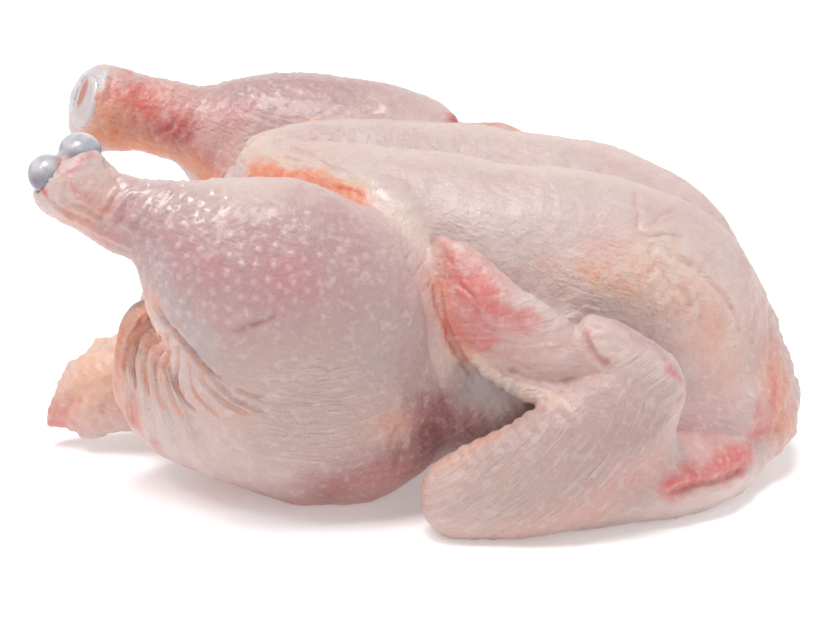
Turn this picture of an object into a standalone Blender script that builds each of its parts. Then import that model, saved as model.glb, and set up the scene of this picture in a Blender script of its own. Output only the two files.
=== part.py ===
"""A whole broiler chicken, plucked and dressed, lying on its back with its wings folded.

+X points to the neck end, -Y to the side with the lower drumstick, +Z up through the breast.
The origin is on the resting surface, under the middle of the bird.

The flesh is written as a distance field: every muscle is a tapered sweep or an ellipsoid of named
size, and each joins the next with a fillet of named radius, small where skin only lies against
skin and large where one muscle runs into the other. The carcass is the surface of that field.
Each shank bone is a solid of its own, which runs down the drumstick from its head at the cut hock.
"""

import math

import bpy
import numpy as np
import openvdb

MM = 0.001  # sizes below are in millimetres, and Blender's are in metres

# Joints of the skeleton, on the side at -Y. A station adds the radius of the flesh there.
NEAR_HOCK = (-104.5, -55.0, 105.0)
NEAR_ANKLE = (-89.6, -55.0, 94.9)
NEAR_KNEE = (-15.5, -55.0, 69.5)
FAR_HOCK = (-107.3, -54.0, 104.9)
FAR_ANKLE = (-85.0, -54.0, 101.0)
FAR_KNEE = (-2.5, -53.0, 88.7)
ELBOW = (15.0, -81.0, 13.5)
WRIST = (68.3, -73.0, 44.8)
SHOULDER = (98.0, -48.0, 11.0)
TAIL_TIP = (-120.5, 0.0, 10.5)

# Girths, as radii of the flesh round those places.
NEAR_HOCK_RADIUS = 13.0
NEAR_ANKLE_RADIUS = 9.8
FAR_HOCK_RADIUS = 15.0
FAR_ANKLE_RADIUS = 12.3
SHANK_RADIUS = 22.0
ELBOW_RADIUS = 12.0
WRIST_RADIUS = 13.0
SHOULDER_RADIUS = 11.0
BREAST_RADIUS = 33.0
SKIN_ROLL_RADIUS = 6.0
VENT_SKIN = 4.2

# Fillets where two masses meet.
FLESH_FILLET = 16.0
JOINT_FILLET = 8.0
CREASE_FILLET = 3.0
THIGH_FILLET = 34.0

# The skin is nowhere quite even. These waves are added all over.
WAVE_COUNT = 7
WAVE_HEIGHT = 0.5
WAVE_LENGTHS = (17.0, 34.0)
WAVE_SEED = 11

# Folds of skin that fan out from where the drumstick presses on the thigh.
FOLD_PINCH = (-80.0, 61.0)
FOLD_PITCH = 17.0
FOLD_DEPTH = 2.2

# The bone of the shank and the room left round it.
BONE_SHAFT_RADIUS = 3.8
BONE_END_RADIUS = 6.4
BONE_GAP = 0.4
NEAR_CONDYLES = (((-111.2, -59.0, 109.2), 5.8), ((-102.0, -51.0, 115.0), 6.4))
FAR_FACE = (-115.4, -50.0, 109.8)
FAR_FACE_NORMAL = (-0.83, 0.44, 0.34)
MARROW_RADII = (1.8, 2.5, 5.2)
MARROW_PITCH = 22.0

# Grid steps and triangle counts.
CARCASS_STEP = 2.2
BONE_STEP = 1.0
CARCASS_TRIANGLES = 8800
BONE_TRIANGLES = 560
FIELD_MARGIN = 14.0
FAR_AWAY = 60.0
FLAT_HEIGHT = 0.45

# The stations are counted from a point this far behind the middle of the bird's length.
MIDDLE_X = 2.4

CARCASS_BOX = ((-136.0, -104.0, -6.0), (140.0, 104.0, 132.0))
SKIN_COLOUR = (0.80, 0.57, 0.49, 1.0)
BONE_COLOUR = (0.60, 0.61, 0.66, 1.0)


def smooth_union(first, second, fillet):
    """Join two fields with a fillet of about that radius."""
    blend = np.maximum(fillet - np.abs(first - second), 0.0) / fillet
    return np.minimum(first, second) - blend * blend * fillet * 0.25


def smooth_cut(solid, cutter, fillet):
    """Take the second field out of the first, and round the edge."""
    return -smooth_union(-solid, cutter, fillet)


def smooth_step(low, high, values):
    """0 below low, 1 above high, and a smooth rise between."""
    share = np.clip((values - low) / (high - low), 0.0, 1.0)
    return share * share * (3.0 - 2.0 * share)


def ellipsoid(points, centre, radii, pitch=0.0):
    """Distance to an ellipsoid that is tipped by pitch degrees about Y."""
    c, s = math.cos(math.radians(pitch)), math.sin(math.radians(pitch))
    turn = np.array(((c, 0, s), (0, 1, 0), (-s, 0, c)), np.float32)
    local = (points - np.array(centre, np.float32)) @ turn
    radii = np.array(radii, np.float32)
    near = np.maximum(np.linalg.norm(local / radii, axis=1), 1e-3)
    slope = np.maximum(np.linalg.norm(local / (radii * radii), axis=1), 1e-3 / radii.max())
    return near * (near - 1.0) / slope


def beyond_plane(points, place, normal):
    """Distance past a plane, to take off all that lies beyond it."""
    normal = np.array(normal, np.float32) / np.linalg.norm(normal)
    return (np.array(place, np.float32) - points) @ normal


def smooth_path(stations, steps):
    """Rows of numbers read from a smooth curve through the given rows."""
    rows = np.array(stations, np.float32)
    ends = np.vstack([2 * rows[0] - rows[1], rows, 2 * rows[-1] - rows[-2]])
    path = []
    for before, start, end, after in zip(ends, ends[1:], ends[2:], ends[3:]):
        for t in np.arange(steps) / steps:
            cubic = 3 * start + after - before - 3 * end
            square = 2 * before - 5 * start + 4 * end - after
            path.append(0.5 * (2 * start + (end - before) * t + square * t**2 + cubic * t**3))
    path.append(rows[-1])
    return np.array(path, np.float32)


def sweep(points, stations, thin_along=None, thinness=1.0, steps=6):
    """Distance to a tapered limb.

    Each station is (x, y, z, radius). The limb is thinned to a share of its width in the
    direction thin_along. Points far from the limb only get a large distance.
    """
    path = smooth_path(stations, steps)
    low = (path[:, :3] - path[:, 3:]).min(axis=0) - FIELD_MARGIN
    high = (path[:, :3] + path[:, 3:]).max(axis=0) + FIELD_MARGIN
    inside = np.all((points > low) & (points < high), axis=1)
    nearby = points[inside]
    centres, radii = path[:, :3], path[:, 3]
    if thin_along is not None:
        axis = np.array(thin_along, np.float32) / np.linalg.norm(thin_along)
        stretch = 1.0 / thinness - 1.0
        nearby = nearby + stretch * (nearby @ axis)[:, None] * axis
        centres = centres + stretch * (centres @ axis)[:, None] * axis
    best = np.full(len(nearby), FAR_AWAY, np.float32)
    for start, end, r0, r1 in zip(centres, centres[1:], radii, radii[1:]):
        along = end - start
        offset = nearby - start
        share = np.clip(offset @ along / float(along @ along), 0.0, 1.0)
        offset -= share[:, None] * along
        distance = np.sqrt(np.einsum("ij,ij->i", offset, offset)) - (r0 + share * (r1 - r0))
        np.minimum(best, distance, out=best)
    field = np.full(len(points), FAR_AWAY, np.float32)
    field[inside] = best * (1.0 + thinness) / 2
    return field


def mirrored(points):
    """The points as the other side of the bird sees them."""
    return points * np.array((1.0, -1.0, 1.0), np.float32)


def station(place, radius):
    """A station of a sweep: a place and the radius there."""
    return (*place, radius)


def trunk(points):
    """The rib cage, the shoulders, the pelvis and the two breast muscles."""
    ribs = ellipsoid(points, (28.0, 0.0, 43.0), (90.0, 55.0, 44.5))
    shoulders = ellipsoid(points, (83.0, 0.0, 24.0), (43.0, 56.0, 27.0))
    pelvis = ellipsoid(points, (-48.0, 0.0, 34.0), (43.0, 40.0, 36.0))
    halves = np.column_stack([points[:, 0], -np.abs(points[:, 1]), points[:, 2]])
    r = BREAST_RADIUS
    breast = sweep(
        halves,
        (
            (-40.0, -12.0, 93.0, 15.0),
            (-14.0, -20.0, 83.5, 25.0),
            (20.0, -24.0, 72.5, r - 1.0),
            (52.0, -23.0, 66.5, r + 1.0),
            (74.0, -19.5, 58.0, r + 1.0),
            (81.0, -15.0, 50.0, r),
        ),
    )
    flank = ellipsoid(halves, (36.0, -36.0, 40.0), (37.0, 31.5, 38.0))
    body = smooth_union(ribs, shoulders, FLESH_FILLET)
    body = smooth_union(body, pelvis, FLESH_FILLET)
    body = smooth_union(body, flank, FLESH_FILLET)
    return smooth_union(body, breast, JOINT_FILLET)


def neck_skin(points):
    """The loose skin of the neck, folded down over the front of the shoulders."""
    return sweep(
        points,
        (
            (103.0, -46.0, 8.0, 5.0),
            (115.5, -30.0, 13.0, 5.5),
            (121.5, -12.0, 19.5, 5.2),
            (122.0, 8.0, 18.0, 5.5),
            (116.0, 28.0, 13.0, 5.5),
            (103.0, 45.0, 8.0, 5.0),
        ),
    )


def tail(points):
    """The tail stump: a wedge with a knobbly upper edge that hangs just clear of the surface."""
    wedge = sweep(
        points,
        (
            (-84.0, 0.0, 23.0, 17.0),
            (-97.0, 0.0, 21.5, 16.0),
            (-106.0, 0.0, 19.5, 13.0),
            (-114.5, 0.0, 14.5, 8.2),
            station(TAIL_TIP, 4.0),
        ),
        thin_along=(0.0, 1.0, 0.0),
        thinness=0.85,
    )
    for place, radius in (((-99.0, -3.0, 36.0), 4.0), ((-105.0, 3.5, 33.0), 3.6), ((-109.0, -4.0, 8.5), 3.4)):
        wedge = smooth_union(wedge, ellipsoid(points, place, (radius, radius, radius)), 3.0)
    return wedge


def near_shank(points):
    """The lower drumstick of the two, cut square across the hock."""
    x, y, z = NEAR_KNEE
    calf = sweep(
        points,
        (
            station(NEAR_ANKLE, NEAR_ANKLE_RADIUS),
            (-77.0, -57.0, 93.4, 12.8),
            (-60.0, -58.5, 87.4, SHANK_RADIUS - 3.2),
            (-40.0, -59.0, 82.5, SHANK_RADIUS - 0.3),
            (-24.5, -57.0, 76.5, SHANK_RADIUS - 0.5),
            (x, y, z, SHANK_RADIUS - 2.5),
        ),
    )
    muscle = ellipsoid(points, (-48.8, -59.5, 72.5), (33.0, 27.0, 27.0), pitch=-6.0)
    knob = sweep(
        points,
        (
            station(NEAR_ANKLE, NEAR_ANKLE_RADIUS),
            (-97.0, -55.0, 100.0, 11.0),
            station(NEAR_HOCK, NEAR_HOCK_RADIUS),
        ),
    )
    knob = smooth_cut(knob, beyond_plane(points, (-109.0, -55.0, 110.0), (-0.64, 0.0, 0.77)), 4.0)
    leg = smooth_union(calf, muscle, FLESH_FILLET)
    return smooth_union(leg, knob, 5.0)


def marrow(points, margin=0.0):
    """The hollow of the marrow in the middle of the far cut, or that hollow with a margin."""
    x, y, z = FAR_FACE
    radii = [radius + margin for radius in MARROW_RADII]
    return ellipsoid(points, (x + 0.5, y, z + 0.2), radii, MARROW_PITCH)


def far_shank(points):
    """The higher drumstick, thicker at the ankle, cut through the head of its bone."""
    x, y, z = FAR_KNEE
    calf = sweep(
        points,
        (
            station(FAR_ANKLE, FAR_ANKLE_RADIUS),
            (-73.0, -55.0, 98.8, 13.4),
            (-57.0, -57.0, 95.2, SHANK_RADIUS - 4.2),
            (-40.0, -58.0, 92.6, SHANK_RADIUS - 0.4),
            (-22.0, -57.0, 91.3, SHANK_RADIUS + 1.0),
            (x, y, z, SHANK_RADIUS - 0.5),
        ),
    )
    muscle = ellipsoid(points, (-44.0, -59.0, 81.0), (34.0, 26.0, 28.5))
    knob = sweep(
        points,
        (
            station(FAR_ANKLE, FAR_ANKLE_RADIUS),
            (-96.0, -54.0, 103.5, 13.4),
            station(FAR_HOCK, FAR_HOCK_RADIUS),
        ),
    )
    knob = smooth_cut(knob, beyond_plane(points, FAR_FACE, FAR_FACE_NORMAL), 3.0)
    knob = smooth_cut(knob, marrow(points, 1.5), 1.0)
    leg = smooth_union(calf, muscle, FLESH_FILLET)
    return smooth_union(leg, knob, 5.0)


def thigh(points):
    """The thigh, with the pad of fat and skin that it pushes out beside the tail."""
    muscle = ellipsoid(points, (-33.0, -47.5, 38.0), (49.0, 30.5, 39.0), pitch=9.0)
    pad = ellipsoid(points, (-68.0, -33.0, 36.5), (28.0, 22.0, 30.0), pitch=20.0)
    roll = sweep(
        points,
        (
            (-80.5, -51.0, 66.5, 2.4),
            (-87.5, -44.5, 60.0, 3.2),
            (-91.2, -41.5, 50.5, 3.4),
            (-91.6, -41.5, 40.5, 3.2),
            (-89.0, -43.0, 31.0, 2.4),
        ),
        steps=4,
    )
    return smooth_union(smooth_union(muscle, pad, FLESH_FILLET), roll, 2.0)


def fold_depth(points):
    """How deep the fan of skin folds beside the tail cuts into the thigh."""
    dx, dz = points[:, 0] - FOLD_PINCH[0], points[:, 2] - FOLD_PINCH[1]
    reach = np.hypot(dx, dz)
    angle = np.degrees(np.arctan2(-dz, dx))
    bend = 1.5 * smooth_step(60.0, 145.0, angle)
    fan = angle + bend * (reach - 15.0)
    crease = 0.5 + 0.5 * np.cos(2.0 * math.pi * fan / FOLD_PITCH)
    shown = smooth_step(6.0, 16.0, reach) * (1.0 - smooth_step(36.0, 56.0, reach))
    shown = shown * smooth_step(45.0, 75.0, fan) * (1.0 - smooth_step(125.0, 145.0, fan))
    return FOLD_DEPTH * crease * shown * smooth_step(24.0, 36.0, np.abs(points[:, 1]))


def flank_skin(points):
    """The rim of skin from the tip of the lip, down between the thigh and the ribs."""
    r = SKIN_ROLL_RADIUS
    return sweep(
        points,
        (
            (-48.0, 0.0, 102.5, r - 1.5),
            (-52.0, -9.0, 100.0, r - 1.0),
            (-49.0, -18.0, 97.5, r - 1.0),
            (-39.0, -27.0, 97.0, r - 1.0),
            (-22.0, -36.0, 98.0, r - 0.5),
            (-8.0, -43.0, 94.5, r),
            (-0.5, -51.5, 85.5, r),
            (3.0, -57.5, 73.0, r),
            (6.0, -60.0, 60.0, r),
            (9.5, -60.0, 47.0, r + 1.0),
            (15.0, -57.5, 33.0, r + 2.0),
        ),
        steps=4,
    )


NEAR_HAND = (
    (64.3, -73.5, 48.0, 12.5),
    (46.4, -71.0, 52.2, 12.2),
    (38.2, -69.0, 57.0, 13.0),
    (29.5, -67.0, 61.6, 15.0),
    (22.9, -65.0, 66.2, 14.4),
    (16.6, -62.0, 74.4, 10.4),
    (12.0, -59.5, 81.5, 7.0),
    (8.0, -57.5, 87.7, 3.2),
)
FAR_HAND = (
    (64.0, -73.5, 50.0, 12.5),
    (50.0, -70.0, 59.0, 12.8),
    (42.0, -66.0, 69.0, 14.0),
    (33.0, -60.5, 79.5, 12.5),
    (24.0, -55.0, 89.0, 8.6),
    (16.0, -50.0, 97.2, 4.0),
)


NEAR_HAND_RIM = (
    (17.5, -65.0, 55.0, 2.6),
    (22.0, -67.5, 51.0, 3.2),
    (27.0, -69.0, 47.8, 3.4),
    (33.0, -71.0, 45.2, 3.6),
    (40.5, -74.0, 43.4, 3.8),
    (48.0, -76.0, 43.0, 4.0),
)
FAR_HAND_RIM = (
    (33.0, -61.0, 69.0, 3.0),
    (40.0, -67.0, 59.0, 3.6),
    (48.0, -72.0, 50.0, 3.8),
)


def wing(points, hand_stations, rim_stations):
    """The folded wing: drumette, web, flat and hand, with the thumb at the wrist.

    A rim of fat skin runs along the lower edge of the hand.
    """
    drumette = sweep(
        points,
        (
            station(SHOULDER, SHOULDER_RADIUS),
            (86.0, -58.0, 11.5, 12.5),
            (68.0, -67.0, 13.5, 13.5),
            (40.0, -75.0, 14.0, 14.0),
            (18.0, -79.0, 13.0, ELBOW_RADIUS),
        ),
    )
    flat = sweep(
        points,
        (
            station(ELBOW, ELBOW_RADIUS + 0.5),
            (37.0, -81.0, 22.0, 17.0),
            (57.0, -77.0, 33.3, 17.5),
            station(WRIST, WRIST_RADIUS),
        ),
        thin_along=(0.0, 1.0, 0.15),
        thinness=0.7,
    )
    web = sweep(points, ((70.0, -70.0, 42.0, 9.5), (71.0, -68.0, 30.0, 9.5), (71.0, -65.0, 16.0, 9.5)))
    hand = sweep(points, hand_stations, thin_along=(0.1, 1.0, 0.35), thinness=0.45)
    thumb = sweep(points, ((70.0, -73.0, 48.0, 11.5), (61.2, -73.5, 58.5, 8.0), (54.2, -73.0, 63.6, 4.6)))
    arm = smooth_union(drumette, web, JOINT_FILLET)
    arm = smooth_union(arm, flat, JOINT_FILLET)
    hand = smooth_union(hand, sweep(points, rim_stations, steps=4), 2.0)
    arm = smooth_union(arm, hand, CREASE_FILLET)
    return smooth_union(arm, thumb, 2.0)


def body_cavity(points, skin=0.0):
    """The emptied inside, as far as it can be seen through the vent, or the skin round it."""
    return sweep(
        points,
        (
            (-108.0, 0.0, 82.0, 22.0 + skin),
            (-70.0, 0.0, 69.0, 25.0 + skin),
            (-30.0, 0.0, 57.0, 28.0 + skin),
            (0.0, 0.0, 54.0, 21.0 + skin),
        ),
        thin_along=(0.0, 1.0, 0.0),
        thinness=0.84,
    )


def vent_skin(points):
    """The cut skin that stands round the vent, from the lip down to the root of the tail."""
    sleeve = body_cavity(points, VENT_SKIN)
    sleeve = smooth_cut(sleeve, beyond_plane(points, (-78.0, 0.0, 68.0), (-0.86, 0.0, 0.51)), 3.0)
    return smooth_cut(sleeve, -beyond_plane(points, (-56.0, 0.0, 60.0), (-0.86, 0.0, 0.51)), 3.0)


def unevenness(points):
    """Low waves of seeded direction, length and phase."""
    chance = np.random.default_rng(WAVE_SEED)
    total = np.zeros(len(points), np.float32)
    for _ in range(WAVE_COUNT):
        direction = chance.normal(size=3)
        direction *= 2.0 * math.pi / (np.linalg.norm(direction) * chance.uniform(*WAVE_LENGTHS))
        total += np.sin(points @ direction.astype(np.float32) + chance.uniform(0.0, 2.0 * math.pi))
    return total * WAVE_HEIGHT / math.sqrt(WAVE_COUNT)


def carcass_field(points):
    """The whole bird of skin and meat. It is flattened where it lies on the surface."""
    body = smooth_union(trunk(points), tail(points), JOINT_FILLET)
    body = smooth_union(body, neck_skin(points), JOINT_FILLET)
    ankle_share = smooth_step(-82.0, -57.0, points[:, 0])
    thigh_fillet = CREASE_FILLET + (THIGH_FILLET - CREASE_FILLET) * ankle_share
    other = mirrored(points)
    for side, shank, hand, rim in (
        (points, near_shank, NEAR_HAND, NEAR_HAND_RIM),
        (other, far_shank, FAR_HAND, FAR_HAND_RIM),
    ):
        leg = smooth_union(thigh(side), shank(side), thigh_fillet)
        body = smooth_union(body, leg, 5.0)
        body = smooth_union(body, flank_skin(side), CREASE_FILLET)
        body = smooth_union(body, wing(side, hand, rim), CREASE_FILLET)
    body = smooth_union(body, vent_skin(points), JOINT_FILLET)
    body = smooth_cut(body, body_cavity(points), CREASE_FILLET)
    body = body + fold_depth(points) + unevenness(points)
    return smooth_cut(body, points[:, 2], 1.5)


def bone_shaft(points, head, ankle, knee):
    """The shaft of a shank bone, waisted behind its head and wider again at the knee."""
    head, ankle, knee = np.array(head), np.array(ankle), np.array(knee)
    return sweep(
        points,
        (
            station(head, BONE_END_RADIUS),
            station(0.5 * (head + ankle), 0.8 * BONE_END_RADIUS),
            station(ankle, BONE_SHAFT_RADIUS),
            station(ankle + 0.55 * (knee - ankle), BONE_SHAFT_RADIUS),
            station(knee, BONE_END_RADIUS + 0.6),
        ),
    )


def near_bone(points):
    """The bone of the near shank, with the two round condyles that stand out of the cut."""
    bone = bone_shaft(points, (-105.5, -55.0, 107.5), NEAR_ANKLE, (-8.0, -55.0, 67.0))
    for place, radius in NEAR_CONDYLES:
        condyle = ellipsoid(points, place, (radius, 1.15 * radius, radius))
        bone = smooth_union(bone, condyle, 1.6)
    return bone


def far_bone(points):
    """The bone of the far shank, cut across its head so that the marrow shows."""
    bone = bone_shaft(points, (-106.0, -52.0, 106.5), FAR_ANKLE, (-2.0, -53.0, 82.0))
    head = ellipsoid(points, (-109.8, -51.4, 105.6), (8.5, 11.0, 12.2))
    bone = smooth_union(bone, head, 3.0)
    bone = smooth_cut(bone, beyond_plane(points, FAR_FACE, FAR_FACE_NORMAL) + 0.6, 1.5)
    return smooth_cut(bone, marrow(points), 1.0)


def field_values(field, low, step, counts):
    """The field on a grid. It is worked out in full only in the blocks that the surface crosses."""
    block = 4
    coarse = [count // block + 1 for count in counts]
    axes = [start + np.arange(n, dtype=np.float32) * step * block for start, n in zip(low, coarse)]
    corners = np.stack([axis.ravel() for axis in np.meshgrid(*axes, indexing="ij")], axis=1)
    values = field(corners).reshape(coarse)
    reach = 1.5 * step * block
    shape = [n - 1 for n in coarse]
    near, total = np.zeros(shape, bool), np.zeros(shape, np.float32)
    for i, j, k in np.ndindex(2, 2, 2):
        corner = values[i : shape[0] + i, j : shape[1] + j, k : shape[2] + k]
        near |= np.abs(corner) < reach
        total += corner / 8
    grid = total.repeat(block, 0).repeat(block, 1).repeat(block, 2)
    mask = near.repeat(block, 0).repeat(block, 1).repeat(block, 2)
    places = np.argwhere(mask).astype(np.float32) * np.float32(step) + np.array(low, np.float32)
    grid[mask] = field(places)
    return grid


def surface_mesh(name, field, box, step):
    """A Blender mesh of the surface where the field is zero, in metres."""
    low, high = box
    block = 4
    counts = [block * math.ceil((b - a) / (step * block)) for a, b in zip(low, high)]
    values = np.clip(field_values(field, low, step, counts) / step, -3.0, 3.0)
    grid = openvdb.FloatGrid(3.0)
    grid.copyFromArray(values.astype(np.float32))
    points, quads = grid.convertToQuads(0.0)
    points = (points * step + np.array(low) - (MIDDLE_X, 0.0, 0.0)) * MM
    mesh = bpy.data.meshes.new(name)
    mesh.from_pydata(points.tolist(), [], quads.tolist())
    return mesh


def flatten_bottom(mesh):
    """Set every vertex that is almost on the resting surface exactly on it."""
    places = np.array([vertex.co for vertex in mesh.vertices])
    places[places[:, 2] < FLAT_HEIGHT * MM, 2] = 0.0
    mesh.vertices.foreach_set("co", places.ravel())


def material(name, colour, roughness):
    """A plain material of that colour and roughness."""
    made = bpy.data.materials.new(name)
    made.use_nodes = True
    shader = made.node_tree.nodes["Principled BSDF"]
    shader.inputs["Base Color"].default_value = colour
    shader.inputs["Roughness"].default_value = roughness
    shader.inputs["Metallic"].default_value = 0.0
    return made


def solid(name, field, box, step, triangles, finish):
    """An object of that field, thinned to about that many triangles."""
    dense = bpy.data.objects.new(name + "_dense", surface_mesh(name, field, box, step))
    bpy.context.scene.collection.objects.link(dense)
    thinned = dense.modifiers.new("fewer_faces", "DECIMATE")
    thinned.use_collapse_triangulate = True
    thinned.ratio = triangles / (2 * len(dense.data.polygons))
    graph = bpy.context.evaluated_depsgraph_get()
    mesh = bpy.data.meshes.new_from_object(dense.evaluated_get(graph))
    bpy.data.objects.remove(dense)
    flatten_bottom(mesh)
    mesh.materials.append(finish)
    mesh.shade_smooth()
    made = bpy.data.objects.new(name, mesh)
    bpy.context.scene.collection.objects.link(made)
    return made


def bone_cutter(bone):
    """A hidden copy of the bone, larger by the gap, that bores its seat in the carcass."""
    mesh = bone.data.copy()
    places = np.array([vertex.co for vertex in mesh.vertices])
    normals = np.array([vertex.normal for vertex in mesh.vertices])
    mesh.vertices.foreach_set("co", (places + normals * BONE_GAP * MM).ravel())
    cutter = bpy.data.objects.new(bone.name + "_seat", mesh)
    bpy.context.scene.collection.objects.link(cutter)
    cutter.hide_render = True
    cutter.display_type = "WIRE"
    return cutter


def main():
    """Build the two bones and the carcass that holds them."""
    for old in list(bpy.data.objects):
        bpy.data.objects.remove(old)
    bone_finish = material("bone", BONE_COLOUR, 0.3)
    skin_finish = material("skin", SKIN_COLOUR, 0.4)
    carcass = solid("carcass", carcass_field, CARCASS_BOX, CARCASS_STEP, CARCASS_TRIANGLES, skin_finish)
    near_box = ((-124.0, -72.0, 54.0), (6.0, -38.0, 128.0))
    far_box = ((-124.0, 36.0, 66.0), (12.0, 70.0, 128.0))
    bones = (
        ("shank_bone_near", near_bone, near_box),
        ("shank_bone_far", lambda points: far_bone(mirrored(points)), far_box),
    )
    for name, field, box in bones:
        bone = solid(name, field, box, BONE_STEP, BONE_TRIANGLES, bone_finish)
        seat = carcass.modifiers.new(name + "_seat", "BOOLEAN")
        seat.operation = "DIFFERENCE"
        seat.solver = "EXACT"
        seat.object = bone_cutter(bone)


if __name__ == "__main__":
    main()
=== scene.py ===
"""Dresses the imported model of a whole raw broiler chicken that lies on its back.

The skin is grown from the same masses of flesh as the solids, on a much finer grid, and then gets
its folds, creases and pimples. The ends of the shank bones are wet gristle. Sizes in the formulas
are in millimetres, counted from the same point as in the solids, and become metres in a mesh.
"""
import logging
import math
from dataclasses import dataclass, field
from enum import Enum
from typing import Any, Callable

import bpy
import numpy as np
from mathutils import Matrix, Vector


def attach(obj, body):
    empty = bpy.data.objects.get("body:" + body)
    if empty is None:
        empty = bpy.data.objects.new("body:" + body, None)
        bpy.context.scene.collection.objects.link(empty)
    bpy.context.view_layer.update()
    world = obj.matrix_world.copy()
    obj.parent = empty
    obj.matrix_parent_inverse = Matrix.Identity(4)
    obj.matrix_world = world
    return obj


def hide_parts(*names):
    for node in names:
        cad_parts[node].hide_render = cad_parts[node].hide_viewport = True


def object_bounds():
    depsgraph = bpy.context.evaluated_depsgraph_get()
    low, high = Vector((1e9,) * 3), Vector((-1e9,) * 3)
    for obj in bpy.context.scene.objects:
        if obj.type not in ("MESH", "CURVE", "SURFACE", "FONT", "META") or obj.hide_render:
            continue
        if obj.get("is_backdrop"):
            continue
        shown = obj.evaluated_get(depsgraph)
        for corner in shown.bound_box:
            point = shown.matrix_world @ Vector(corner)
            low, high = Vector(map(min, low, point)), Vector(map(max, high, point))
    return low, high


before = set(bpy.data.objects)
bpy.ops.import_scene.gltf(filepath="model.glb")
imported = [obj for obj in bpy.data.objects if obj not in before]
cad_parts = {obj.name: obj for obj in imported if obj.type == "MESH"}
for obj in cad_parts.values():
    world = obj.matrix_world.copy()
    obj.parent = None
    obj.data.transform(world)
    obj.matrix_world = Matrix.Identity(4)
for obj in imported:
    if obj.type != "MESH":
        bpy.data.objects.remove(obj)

import openvdb
from mathutils import Vector

LOG = logging.getLogger("whole_bird")
MM = 0.001
MIDDLE_X = 2.4
FAR_AWAY = 60.0
TURN = 2.0 * math.pi

Mesh = bpy.types.Mesh
Array = np.ndarray
Span = tuple[float, float]
Place = tuple[float, float, float]
Station = tuple[float, float, float, float]
Colour = tuple[float, float, float, float]
Field = Callable[[Array], Array]
Settings = dict[str, Any] | None
Inputs = dict[Any, Any] | None


class Side(Enum):
    """The two sides of the bird. The near one is the side with the lower drumstick, at -Y."""

    NEAR = 1.0
    FAR = -1.0

    def seen(self, points: Array) -> Array:
        """The points in the frame in which this side lies at -Y."""
        return points * np.array((1.0, self.value, 1.0), np.float32)


BOTH = (Side.NEAR, Side.FAR)
ONLY_NEAR = (Side.NEAR,)
ONLY_FAR = (Side.FAR,)


def smooth_union(first: Array, second: Array, fillet: Any) -> Array:
    """Join two distance fields with a fillet.

    Args:
        first: distances to the first mass.
        second: distances to the second mass.
        fillet: radius of the fillet, for all points or for each.

    Returns:
        Distances to the joined mass.
    """
    blend = np.maximum(fillet - np.abs(first - second), 0.0) / fillet
    return np.minimum(first, second) - blend * blend * fillet * 0.25


def smooth_cut(solid: Array, cutter: Array, fillet: float) -> Array:
    """Take the second field out of the first, with an edge rounded to that fillet."""
    return -smooth_union(-solid, cutter, fillet)


def smooth_step(low: float, high: float, values: Array) -> Array:
    """0 below low, 1 above high, and a smooth rise between."""
    share = np.clip((values - low) / (high - low), 0.0, 1.0)
    return share * share * (3.0 - 2.0 * share)


def bell(distance: Array, width: float) -> Array:
    """1 at no distance, falling smoothly to nothing at a few widths."""
    return np.exp(-np.square(distance / width))


def wave(values: Array, pitch: float) -> Array:
    """A cosine wave of that pitch, from -1 to 1."""
    return np.cos(TURN * values / pitch)


def beyond_plane(points: Array, place: Place, normal: Place) -> Array:
    """Distance past a plane, to take off all that lies beyond it.

    Args:
        points: where to measure.
        place: a point of the plane.
        normal: the direction that the plane faces, of any length.

    Returns:
        Distances that are negative beyond the plane.
    """
    unit = np.array(normal, np.float32) / np.linalg.norm(normal)
    return (np.array(place, np.float32) - points) @ unit


def smooth_path(rows: Any, steps: int) -> Array:
    """Read a smooth curve through rows of numbers.

    Args:
        rows: places, or places with radii.
        steps: how many points to read between two rows.

    Returns:
        The rows of the finer curve.
    """
    rows = np.array(rows, np.float32)
    ends = np.vstack([2 * rows[0] - rows[1], rows, 2 * rows[-1] - rows[-2]])
    path = []
    for before, start, end, after in zip(ends, ends[1:], ends[2:], ends[3:]):
        for t in np.arange(steps) / steps:
            cubic = 3 * start + after - before - 3 * end
            square = 2 * before - 5 * start + 4 * end - after
            path.append(0.5 * (2 * start + (end - before) * t + square * t**2 + cubic * t**3))
    path.append(rows[-1])
    return np.array(path, np.float32)


def nearest_on_path(points: Array, path: Array, reach: float) -> tuple[Array, Array, Array]:
    """Find how far points are from a path, and how far along it their nearest place is.

    Args:
        points: where to measure.
        path: the path's places.
        reach: points farther than this from the path's box aren't measured.

    Returns:
        The distances, the lengths along the path, and the steps from the path to the points.
    """
    low, high = path.min(axis=0) - reach, path.max(axis=0) + reach
    inside = np.all((points > low) & (points < high), axis=1)
    nearby = points[inside]
    best = np.full(len(nearby), FAR_AWAY, np.float32)
    place = np.zeros(len(nearby), np.float32)
    steps = np.zeros((len(nearby), 3), np.float32)
    travelled = 0.0
    for start, end in zip(path, path[1:]):
        run = end - start
        length = float(np.linalg.norm(run))
        share = np.clip((nearby - start) @ run / (length * length), 0.0, 1.0)
        step = nearby - start - share[:, None] * run
        gap = np.linalg.norm(step, axis=1)
        closer = gap < best
        best[closer], steps[closer] = gap[closer], step[closer]
        place[closer] = travelled + share[closer] * length
        travelled += length
    distance = np.full(len(points), FAR_AWAY, np.float32)
    along = np.zeros(len(points), np.float32)
    offset = np.zeros((len(points), 3), np.float32)
    distance[inside], along[inside], offset[inside] = best, place, steps
    return distance, along, offset


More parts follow.
